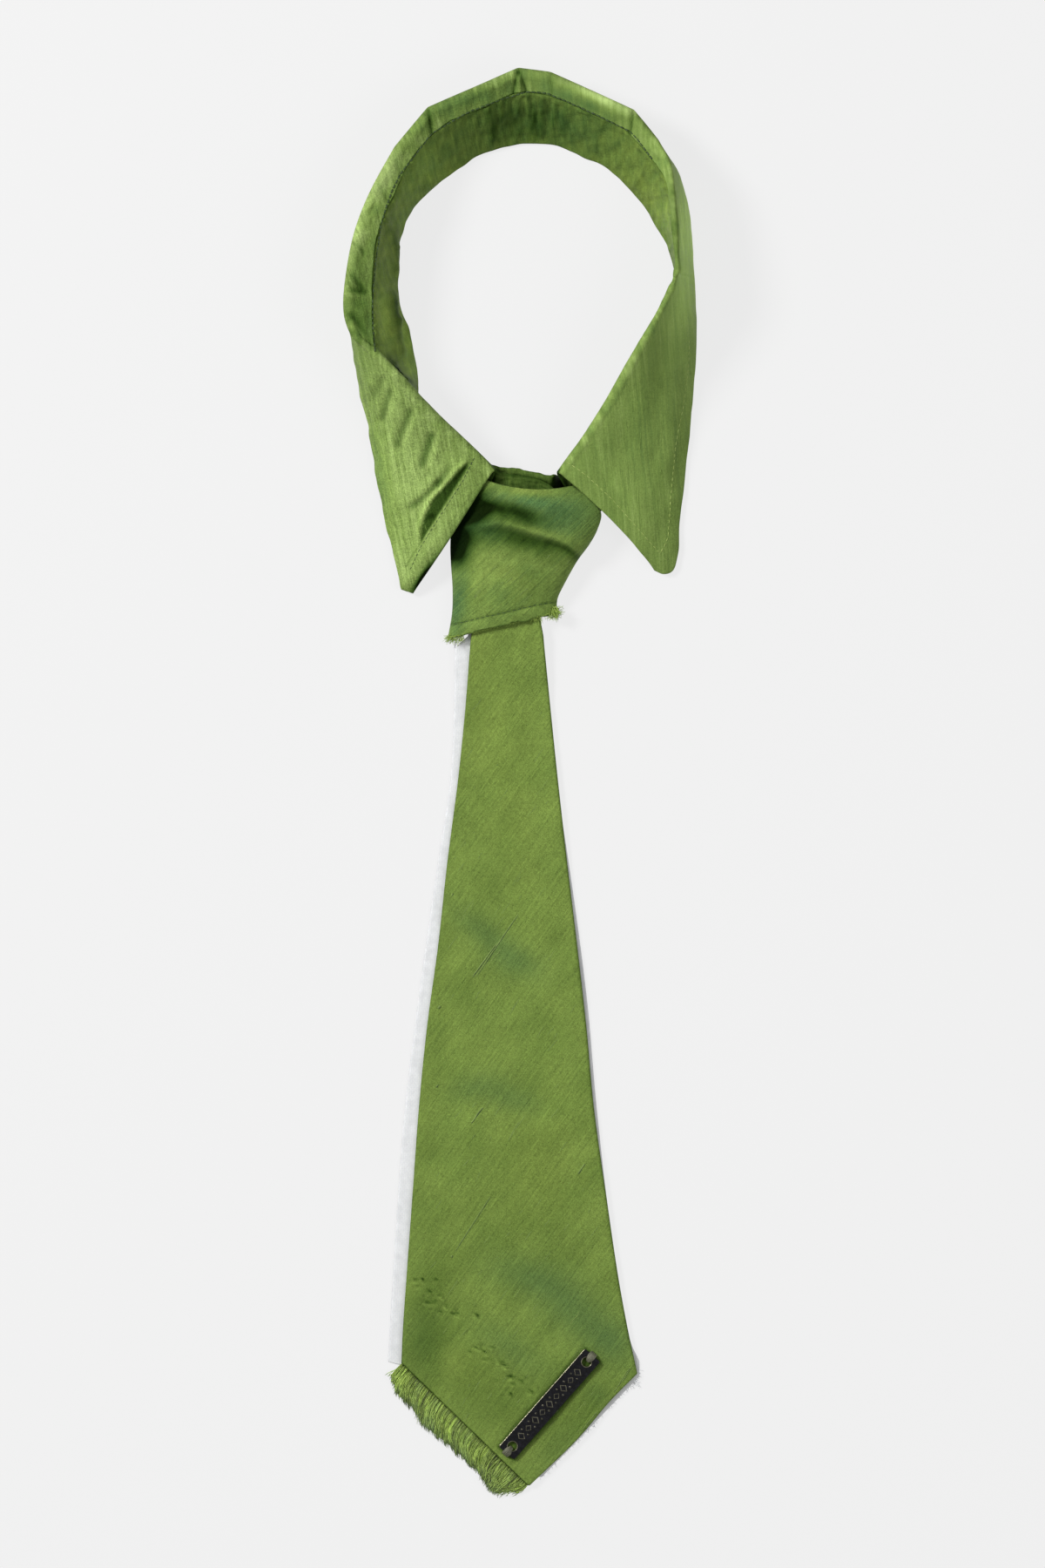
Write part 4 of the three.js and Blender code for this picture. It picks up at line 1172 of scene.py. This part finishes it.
# Where the strands end, beside their roots: shares of the hem's length and offsets
TIPS = table("share x y", """
    0 -4.2 -6.8
    0.05 -4.4 -10.4
    0.1 -3.4 -11.4
    0.15 -2.6 -11
    0.25 -4.6 -12.4
    0.35 -3.8 -12.2
    0.45 -2.8 -12
    0.55 -3.1 -11.6
    0.65 -3.6 -10.8
    0.75 -4.6 -10.6
    0.85 -7.6 -9.6
    0.91 -9.4 -7.2
    0.96 -9.4 -4.6
    1 -7.4 -2.6
""")


def fringe_path(share, reach, s):
    """Points a share s of the way along strands that leave the hem squarely and bend to their tips."""
    root = HEM_START + share[:, None] * (HEM_END - HEM_START)
    run = unit(HEM_END - HEM_START)
    out = np.array([run[1], -run[0]])
    tip = np.stack([np.interp(share, TIPS["share"], TIPS[axis]) for axis in "xy"], -1) * reach[:, None]
    at_end = smooth(0.8, 0.95, share)[:, None]
    first = out * 6.5 * (1 - at_end) + (tip * 0.5 + (0.6, -1.8)) * at_end
    return root - out * 0.6 + (2 * s * (1 - s)) * first + s * s * tip


def fringe_shade_sheet():
    """A thin dark sheet that closes the gaps between the strands: painted shade between them."""
    share = np.linspace(0.004, 1.0, 60)
    bed = np.stack([fringe_path(share, np.full(60, 0.92), s) for s in np.linspace(0, 1, 14)], axis=1)
    x, y = bed[..., 0], bed[..., 1]
    grid = np.stack([x, y, np.full_like(x, 0.5)], -1)
    looks = (bed, 0.1, 0.32 + 0.12 * ripple(x, y, 1.6, 64), 0)
    return cloth_wall("fringe_shade_sheet", grid, 0.6, 0.1 * ripple(x, y, 3, 63), looks, FRINGE_SILK, "fringe_silk")


def fringe():
    """The frayed locks: strands that gather toward the middle of their lock, each lock with its own mood."""
    rng = np.random.default_rng(61)
    shade_sheet_piece = fringe_shade_sheet()
    count, steps, locks = 2300, 11, 40
    share = np.sort(rng.uniform(0, 1, count))
    lock = share * locks + 0.35 * np.sin(share * 97)
    seat = lock - np.floor(lock)
    mood = np.random.default_rng(62).normal(0, 1, (int(lock.max()) + 2, 3))[np.floor(lock).astype(int)]
    layer = rng.uniform(0, 1, count)
    reach = rng.uniform(0.74, 1.03, count) * (1 + 0.025 * mood[:, 0])
    wiggle = rng.uniform(0, math.tau, count)
    stray = rng.normal(0, 0.85, count)
    wild = rng.uniform(0, 1, count) < 0.12
    stray += np.where(wild, rng.normal(0, 1.8, count), 0)
    run = unit(HEM_END - HEM_START)
    along_it = np.linspace(0, 1, steps)
    paths = np.zeros((count, steps, 3))
    for k, s in enumerate(along_it):
        gather = (0.5 - seat) * 0.5 * smooth(0, 1, s) * math.sin(math.pi * min(1.2 * s, 1) / 1.6)
        sway = 0.5 * np.sin(wiggle + s * 6) * s + 0.5 * mood[:, 1] * s * s + stray * s**1.5
        paths[:, k, :2] = fringe_path(share, reach, s) + run * (gather + sway)[:, None]
        sag = 0.6 + 1.15 * layer * (1 - 0.45 * s) + 0.2 * np.sin(wiggle * 3 + 5 * s)
        paths[:, k, 2] = np.clip(sag, 0.3, 2.3)
    teal = along_it**6 * rng.uniform(0.3, 1.2, (count, 1)) + 0.2 * np.clip(mood[:, 2:] - 0.4, 0, 1)
    # Painted shade between the locks, on the lower strands, toward the tips and at the roots by the hem. The
    # rest of the tone is random from lock to lock and strand to strand, and darker from about the middle of
    # the hem to its end.
    dark = 0.46 * np.abs(2 * seat - 1) ** 3 - 0.04 + 0.3 * np.clip(0.5 - layer, 0, 1)
    dark += 0.17 * mood[:, 0] + rng.uniform(-0.34, 0.3, count) + 0.14 * smooth(0.45, 0.7, share)
    tone = dark[:, None] + 0.08 * along_it**4 + 0.4 * hump(along_it, 0.09)
    width = rng.uniform(0.1, 0.17, count)
    piece = strands("fringe_strands", paths, width, FRINGE_SILK, "fringe_silk", tint=teal, tone=tone)
    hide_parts("blade_fringe")
    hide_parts("blade_fringe")
    return piece


# The bar and its threads


def bar_local(points):
    """Points along, across and above the bar, turned and moved to its place."""
    x, y = turned(points[..., 0], points[..., 1], -PLATE_PLACE["turn"])
    return np.stack([x, y, points[..., 2]], -1) + [PLATE_PLACE["x"], PLATE_PLACE["y"], PLATE_PLACE["lift"]]


def outline_spline(curve, points):
    """Adds a closed outline to a flat curve."""
    spline = curve.splines.new("POLY")
    spline.points.add(len(points) - 1)
    for target, (x, y) in zip(spline.points, points):
        target.co = (x * MM, y * MM, 0, 1)
    spline.use_cyclic_u = True


def bar_slab():
    """The bar's slab with its two holes, as a mesh in its own axes."""
    curve = bpy.data.curves.new("bar_outline", "CURVE")
    curve.dimensions, curve.fill_mode = "2D", "BOTH"
    bevel = PLATE["bevel"]
    half_x, half_y, corner = PLATE["length"] / 2 - bevel, PLATE["width"] / 2 - bevel, 0.5
    ring = []
    for cx, cy, start in ((1, -1, -90), (1, 1, 0), (-1, 1, 90), (-1, -1, 180)):
        for degrees in np.linspace(start, start + 90, 7):
            turn = math.radians(degrees)
            ring.append((cx * (half_x - corner) + corner * math.cos(turn),
                         cy * (half_y - corner) + corner * math.sin(turn)))
    outline_spline(curve, ring)
    for end in (-1, 1):
        turns = np.linspace(0, math.tau, 33)[:-1]
        centre, reach = end * (PLATE["length"] / 2 - PLATE["inset"]), PLATE["hole"] + bevel
        outline_spline(curve, [(centre + reach * math.cos(t), reach * math.sin(t)) for t in turns])
    curve.extrude = (PLATE["thickness"] / 2 - bevel) * MM
    curve.bevel_depth = bevel * MM
    curve.bevel_resolution = 3
    holder = add_object("bar_outline", curve)
    mesh = holder.evaluated_get(bpy.context.evaluated_depsgraph_get()).to_mesh().copy()
    bpy.data.objects.remove(holder)
    return mesh


def boss(corners, levels, centre, across):
    """A raised boss, as points and faces: its corners at the size and height of each level, from the foot."""
    count = len(corners)
    points = [[centre + u * k, across + v * k, PLATE["thickness"] + z] for k, z in levels for u, v in corners]
    faces = []
    for first in range(0, len(points) - count, count):
        for i in range(count):
            a, b = first + i, first + (i + 1) % count
            faces.append((a, b, b + count, a + count))
    for first, order in ((len(points) - count, 1), (0, -1)):
        faces += [[first + corner for corner in corners][::order] for corners in fan(count)]
    return points, faces


LOZENGES, LOZENGE_GAP = 9, 3.9
LOZENGE_LEVELS = [(1, -0.12), (0.92, 0.275), (0.62, 0.5)]
BEAD_LEVELS = [(1, -0.1), (1, 0.15), (0.72, 0.42), (0.3, 0.52)]
BEAD = [(0.42 * math.cos(turn), 0.42 * math.sin(turn)) for turn in np.linspace(0, math.tau, 13)[:-1]]


def rim_glints(points):
    """The slab's painted highlight: bright along its upper rim on one side, less so round its holes."""
    along_it, across, above = points.T
    rim = np.abs(above - PLATE["thickness"] + 0.12) < 0.13
    to_hole = np.hypot(np.abs(along_it) - PLATE["length"] / 2 + PLATE["inset"], across)
    near_hole = (to_hole < PLATE["hole"] + 0.34) & (to_hole > PLATE["hole"])
    return rim * np.where(across > PLATE["width"] / 2 - 0.34, 1.0, np.where(near_hole, 0.6, 0))


def bosses():
    """The row of lozenges, large and small by turns, with a pair of beads between them."""
    shapes = []
    for i in range(LOZENGES):
        centre, half = (i - LOZENGES // 2) * LOZENGE_GAP, 1.9 if i % 2 == 0 else 1.35
        shapes.append(boss([(1.5, 0), (0, half), (-1.5, 0), (0, -half)], LOZENGE_LEVELS, centre, 0))
        if i < LOZENGES - 1:
            shapes += [boss(BEAD, BEAD_LEVELS, centre + LOZENGE_GAP / 2, side) for side in (-1.5, 1.5)]
    return shapes


def bar():
    """The lacquered bar with its bosses, with painted highlights along the rim and on their shoulders."""
    slab = bar_slab()
    points = [np.array([v.co for v in slab.vertices]) / MM + [0, 0, PLATE["thickness"] / 2]]
    faces = [list(p.vertices) for p in slab.polygons]
    glints = [rim_glints(points[0])]
    start = len(points[0])
    for shape_points, shape_faces in bosses():
        points.append(np.array(shape_points))
        faces += [[v + start for v in face] for face in shape_faces]
        above = points[-1][:, 2] - PLATE["thickness"]
        rise = above / max(above.max(), 0.1)
        glints.append(((rise > 0.3) & (rise < 0.9)) * 0.6)
        start += len(shape_points)
    mesh = bpy.data.meshes.new("bar")
    mesh.from_pydata((bar_local(np.vstack(points)) * MM).tolist(), [], faces)
    mesh.attributes.new("tint", "FLOAT", "POINT").data.foreach_set("value", np.concatenate(glints))
    mesh.materials.append(bar_material())
    piece = add_object("bar", mesh)
    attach(piece, BODY)
    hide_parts("name_plate")
    return piece


def bar_thread(name, node, end):
    """Turns of thread that come up through the hole at one end and go down over the bar's end."""
    turns = 16
    rng = np.random.default_rng(71 + end)
    half = PLATE["length"] / 2
    top = PLATE["thickness"]
    paths = []
    for side in np.linspace(-1, 1, turns):
        over = 0.25 + 0.45 * (1 - side * side) + rng.uniform(0, 0.25)
        route = [
            (half - PLATE["inset"] + 0.3, 0.45 * side, 0.3),
            (half - PLATE["inset"] + 0.7, 0.6 * side, top + 0.1),
            (half - 2.0, 0.95 * side, top + over),
            (half - 1.0, 1.25 * side, top + over),
            (half + 0.1, 1.3 * side, top + over * 0.8),
            (half + 0.75, 1.15 * side + rng.uniform(-0.1, 0.1), top * 0.5),
            (half + 0.95, 1.0 * side, 0.05),
        ]
        route = np.array(route) * [end, 1, 1]
        route[:, 1] += rng.normal(0, 0.07, len(route))
        corners, at = np.arange(len(route)), np.linspace(0, len(route) - 1, 15)
        paths.append(np.stack([np.interp(at, corners, column) for column in route.T], -1))
    tint = rng.uniform(-0.4, 0.8, (turns, 1))
    paths = bar_local(np.array(paths))
    piece = strands(name, paths, 0.17, GREY_THREAD, "sewing_thread", sides=6, tint=tint, tip=0.8)
    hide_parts(node)
    return piece


# Stitches, slubs and loose threads on the cloth


class Surface:
    """Finds the top of a piece under a place seen from above."""

    def __init__(self, *pieces):
        self.trees = []
        for piece in pieces:
            mesh = piece.data
            corners = np.zeros(len(mesh.vertices) * 3)
            mesh.vertices.foreach_get("co", corners)
            ids = np.zeros(len(mesh.loops), np.int32)
            mesh.loops.foreach_get("vertex_index", ids)
            faces = ids.reshape(-1, 4).tolist()
            self.trees.append(BVHTree.FromPolygons(corners.reshape(-1, 3).tolist(), faces))

    def top(self, x, y):
        best = 0.0
        for tree in self.trees:
            hit = tree.ray_cast(Vector((x * MM, y * MM, 0.1)), Vector((0, 0, -1)))
            if hit[0] is not None:
                best = max(best, hit[0].z / MM)
        return best


def resample(line, gap):
    """Places along a line that are about a gap apart."""
    line = np.asarray(line, float)
    run = np.concatenate([[0], np.cumsum(np.linalg.norm(np.diff(line, axis=0), axis=1))])
    count = max(int(run[-1] / gap), 2)
    at = np.linspace(0, run[-1], count + 1)
    return np.stack([np.interp(at, run, line[:, 0]), np.interp(at, run, line[:, 1])], -1)


def stitches(name, surface, line, material, slot, length, gap, radius=0.13, sink=0.03):
    """Short threads laid end to end along a line on the cloth, their ends dipping into it."""
    rng = np.random.default_rng(5)
    share = length / gap
    paths = []
    spots = resample(line, gap)
    for a, b in zip(spots[:-1], spots[1:]):
        a = a + rng.normal(0, 0.06, 2)
        path = []
        for s in np.linspace(0, 1, 7):
            x, y = a + (b - a) * s * share
            dip = 0.22 * (2 * s - 1) ** 4
            path.append((x, y, surface.top(x, y) + radius * 0.35 - sink - dip))
        paths.append(path)
    return strands(name, paths, radius, material, slot, sides=6)


def slubs(name, surface, lines, turn, material, slot, scatter, seed):
    """Thick places in the silk's threads: long thin bumps half sunk in the cloth.

    Each of the lines is from x, from y, to x, to y and a width. Each part of the scatter is from x, to x,
    from y, to y, how many and how long at most.
    """
    rng = np.random.default_rng(seed)
    lines = list(lines)
    for x0, x1, y0, y1, count, longest in scatter:
        for _ in range(count):
            x, y = rng.uniform(x0, x1), rng.uniform(y0, y1)
            long = rng.uniform(0.25, 1) ** 2 * longest
            heading = math.radians(turn + rng.normal(0, 2))
            end = (x + long * math.cos(heading), y + long * math.sin(heading))
            lines.append((x, y, *end, rng.uniform(0.1, 0.17)))
    paths, widths = [], []
    for line in lines:
        start, end, width = np.array(line[:2]), np.array(line[2:4]), line[4]
        bend = rng.normal(0, 0.12)
        path = []
        for s in np.linspace(0, 1, 13):
            x, y = start + (end - start) * s
            x += bend * math.sin(7 * s)
            height = surface.top(x, y)
            if height <= 0.5:
                break
            path.append((x, y, height - width * 0.35))
        if len(path) == 13 and np.abs(np.diff(np.array(path)[:, 2])).max() < 0.25:
            paths.append(path)
            widths.append(width)
    return strands(name, paths, np.array(widths), material, slot, sides=6, tip=0.15)


def frays(name, ends, radius, material, slot, seed, curl=0.5):
    """Loose thread ends that leave an edge and curl a little."""
    rng = np.random.default_rng(seed)
    steps = 8
    paths = []
    for x, y, heading, long, height in ends:
        turn, rise = rng.normal(0, curl), rng.uniform(-0.3, 0.5)
        path = []
        for s in np.linspace(0, 1, steps):
            path.append((x, y, max(height + rise * s * s - 0.4 * s, 0.12)))
            angle = math.radians(heading) + turn * s
            x += math.cos(angle) * long / (steps - 1)
            y += math.sin(angle) * long / (steps - 1)
        paths.append(path)
    return strands(name, paths, radius, material, slot)


# Loose ends: how many, from x, to x, from y, to y, heading, its spread, length from, to, height from, to
HEM_FUZZ = number_rows("""
    170 -27.2 -21 52.2 54 225 40 0.8 2.4 2.5 6
    210 10.5 13.6 61.4 64.5 -75 45 1 3.4 4 6.5
    24 3.5 7.5 59.8 61 -100 25 1 2.8 5.5 6.6
""")
HEM_TUFT = number_rows("""
    34 11 13.4 62.2 64.8 -68 26 2 4.2 5 7
    16 -26.8 -20 52.2 53.4 205 26 1.4 2.8 3 6
""")
BACKING_FUZZ = number_rows("""
    26 7.6 10.4 61.2 63 -60 35 1 2.4 1.5 4
    14 -26 -19 50.5 52 -90 45 1 3 1 1.6
    60 39.5 43.5 -222 -216 -20 30 0.6 1.8 0.8 0.8
""")


def loose_end(rng, spot, heading, spread, shortest, longest, low, high):
    """The root, heading, length and height of a thread end. A fixed height is not drawn."""
    heading, long = rng.normal(heading, spread), rng.uniform(shortest, longest)
    return (*spot, heading, long, rng.uniform(low, high) if low < high else low)


def loose_ends(rng, bunches):
    """The loose ends of some bunches, drawn one after the other."""
    return [loose_end(rng, (rng.uniform(x0, x1), rng.uniform(y0, y1)), *rest)
            for count, x0, x1, y0, y1, *rest in bunches for _ in range(int(count))]


def edge_frays():
    """The raw edges: the knot's hem with its tail and tuft, and the loose ends of the backing."""
    rng = np.random.default_rng(91)
    start, end = np.array([-26.4, 52.7]), np.array([12.8, 61.9])
    ends = [loose_end(rng, start + (end - start) * rng.uniform() + (0, 0.5), -82, 40, 0.4, 1.1, 5.2, 6.6)
            for _ in range(420)]
    ends += loose_ends(rng, HEM_FUZZ)
    frays("hem_frays", ends, 0.07, FRINGE_SILK, "tie_silk", 92, curl=1.3)
    frays("tuft_frays", loose_ends(rng, HEM_TUFT), 0.13, FRINGE_SILK, "tie_silk", 94, curl=1.3)
    ends = loose_ends(rng, BACKING_FUZZ)
    for share in rng.uniform(0, 1, 130):
        spot = np.array([42.6, -219]) + share * np.array([-36, -36.6]) + rng.normal(0, 0.25, 2)
        ends.append(loose_end(rng, spot, -45, 28, 0.5, 1.6, 0.4, 0.9))
    frays("backing_frays", ends, 0.08, BACKING_THREAD, "backing_cloth", 93)


# Lines of stitches on the cloth, x and y
LEFT_STITCHES = number_rows("""
    -17.1 118.9
    -21.6 109.9
    -29.9 97.1
    -36.6 86.6
    -41 77.5
""")
RIGHT_STITCHES = number_rows("""
    16.7 117.3
    23.2 113
    33.1 104
    42.1 93.9
    51 83.7
    53.9 89.1
    55 105.4
    56.8 124
    59.4 137.1
    61.2 150
    61.8 163
""")
SEAM_STITCHES = number_rows("""
    -53.4 157.4
    -54.3 165.9
    -54.4 175.8
    -53.8 185.1
    -52.8 194.4
    -51.2 204.6
    -49.4 210.7
    -47.2 216.8
    -44.3 222.6
    -32.8 237.6
    -19.8 245.3
    -7.5 250.1
    2.1 253
    8.8 252.6
    16.8 249.4
    28 244.3
    40.2 238.2
    43.7 234.1
    48.2 227.7
""")
# The larger slubs: from x, from y, to x, to y, width
BLADE_SLUBS = number_rows("""
    -18.4 -72.2 -8.5 -58.6 0.28
    -17.4 -72.6 -0.2 -47.2 0.22
    -25.1 -173.6 -10.7 -151.2 0.17
    -18.7 -125.6 -13.9 -119.2 0.32
    20.6 -144.2 23.5 -140 0.3
    -30.6 -83.4 -29.6 -82 0.55
    -31.4 -112.2 -30.4 -111 0.35
    -25.8 -41.8 -25 -40.9 0.3
    22.8 -240 23.4 -239 0.4
    -25.9 -174.8 -25.2 -173.8 0.42
    33.5 -224.5 40.5 -214.5 0.17
    22 -238.5 28 -231 0.15
    36.5 -221 40 -215.5 0.13
    11.5 -233 14 -229.8 0.2
""")
KNOT_SLUBS = number_rows("""
    0.2 65.8 4.6 69.3 0.14
    12.3 77.2 14 78.6 0.12
    16.2 79.8 18.4 81.6 0.12
""")
LEAF_SLUBS = number_rows("""
    46.5 118 47 133 0.2
    43.4 121 44 129 0.16
""")


def build_details(leaf, stand, knot_piece, blade_piece):
    """Everything that lies on the cloth: stitches, slubs and loose ends."""
    on_leaf, on_stand = Surface(leaf), Surface(leaf, stand)
    on_knot, on_blade = Surface(knot_piece), Surface(blade_piece)
    stitches("leaf_stitches_left", on_leaf, LEFT_STITCHES, DARK_THREAD_AND_SHADOW, "collar_silk", 1.4, 1.75)
    stitches("leaf_stitches_right", on_leaf, RIGHT_STITCHES, LIGHT_THREAD, "collar_silk", 1.7, 2.2)
    stitches("seam_stitches", on_stand, SEAM_STITCHES, DARK_THREAD_AND_SHADOW, "collar_silk", 1.75, 1.95, 0.3, 0.02)
    stitches("hem_stitches", on_knot, HEM_LINE, DARK_THREAD_AND_SHADOW, "tie_silk", 1.6, 1.9)
    scatter = [(-22, 10, -20, 40, 22, 7), (-30, 18, -100, -20, 40, 8), (-38, 28, -200, -100, 60, 8),
               (-30, 30, -240, -200, 36, 5)]
    slubs("blade_slubs", on_blade, BLADE_SLUBS, BLADE_GRAIN, SLUB_SILK, "tie_silk", scatter, 81)
    # Dark threads laid beside the slubs, a little to the lower right: painted shadows of the slubs.
    slub_shadow_lines = [(x0 + 0.26, y0 - 0.18, x1 + 0.26, y1 - 0.18, 0.45 * width)
              for x0, y0, x1, y1, width in BLADE_SLUBS]
    slubs("blade_slub_shadows", on_blade, slub_shadow_lines, BLADE_GRAIN, DARK_THREAD_AND_SHADOW, "tie_silk", [], 81)
    scatter = [(-22, 12, 66, 82, 26, 5)]
    slubs("knot_slubs", on_knot, KNOT_SLUBS, KNOT_GRAIN, SLUB_SILK, "tie_silk", scatter, 82)
    edge_frays()
    scatter = [(20, 62, 84, 165, 70, 14)]
    slubs("leaf_slubs_right", on_leaf, LEAF_SLUBS, 94, LEAF_SILK, "collar_silk", scatter, 83)
    scatter = [(-58, -20, 84, 145, 80, 10)]
    slubs("leaf_slubs_left", on_leaf, [], 101, LEAF_SILK, "collar_silk", scatter, 84)


# The stage


FLOOR_REACH = 6.0
FLOOR_DROP = -0.00002
FLOOR_PAINT = 0.1
FLOOR_GLOW = 0.772
WORLD_LIGHT = 0.3
AIM = Vector((0, 0.05, 0))
LIGHTS = [
    ("key", (-1.3, 0.75, 1.35), 0.55, 38.0),
    ("fill", (1.6, -0.5, 1.7), 1.6, 15.0),
]


def floor_and_light():
    """A pale floor that glows without lighting the part, two lamps and a dim white world."""
    mesh = bpy.data.meshes.new("floor")
    corners = [(-1, -1), (1, -1), (1, 1), (-1, 1)]
    mesh.from_pydata([(x * FLOOR_REACH, y * FLOOR_REACH, FLOOR_DROP) for x, y in corners], [], [(0, 1, 2, 3)])
    floor = add_object("floor", mesh)
    paint_floor = Shader("floor_pale").finish(
        Base_Color=(FLOOR_PAINT, FLOOR_PAINT, FLOOR_PAINT, 1), Roughness=0.95, Specular_IOR_Level=0.0,
        Emission_Color=(1, 1, 1, 1), Emission_Strength=FLOOR_GLOW)
    mesh.materials.append(paint_floor)
    floor.visible_diffuse = False
    for name, place, size, power in LIGHTS:
        light = bpy.data.lights.new(name, "AREA")
        light.shape, light.size, light.energy = "DISK", size, power
        lamp = add_object(name, light)
        lamp.location = place
        lamp.rotation_mode = "QUATERNION"
        lamp.rotation_quaternion = (Vector(place) - AIM).to_track_quat("Z", "Y")
    world = bpy.data.worlds.new("studio")
    world.use_nodes = True
    background = world.node_tree.nodes["Background"].inputs
    background["Color"].default_value = (1, 1, 1, 1)
    background["Strength"].default_value = WORLD_LIGHT
    bpy.context.scene.world = world


def camera():
    """A far camera straight above, so that heights hardly shift what it sees."""
    distance, seen = 8.0, 0.576
    data = bpy.data.cameras.new("camera")
    data.sensor_width = 36
    data.lens = data.sensor_width * distance / seen
    data.clip_end = 30
    view = add_object("camera", data)
    view.location = (0.0005, -0.0008, distance)
    bpy.context.scene.camera = view


camera()
bpy.context.scene.view_settings.view_transform = "Standard"
floor_and_light()
leaf_piece = collar_leaf()
stand_piece = collar_stand()
knot_piece = knot()
blade_piece = blade()
backing_piece = backing()
fringe_piece = fringe()
bar()
bar_thread("thread_lower_strands", "thread_lower", -1)
bar_thread("thread_upper_strands", "thread_upper", 1)
build_details(leaf_piece, stand_piece, knot_piece, blade_piece)
button_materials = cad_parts["collar_button"].data.materials
button_materials.clear()
button_materials.append(button_material())
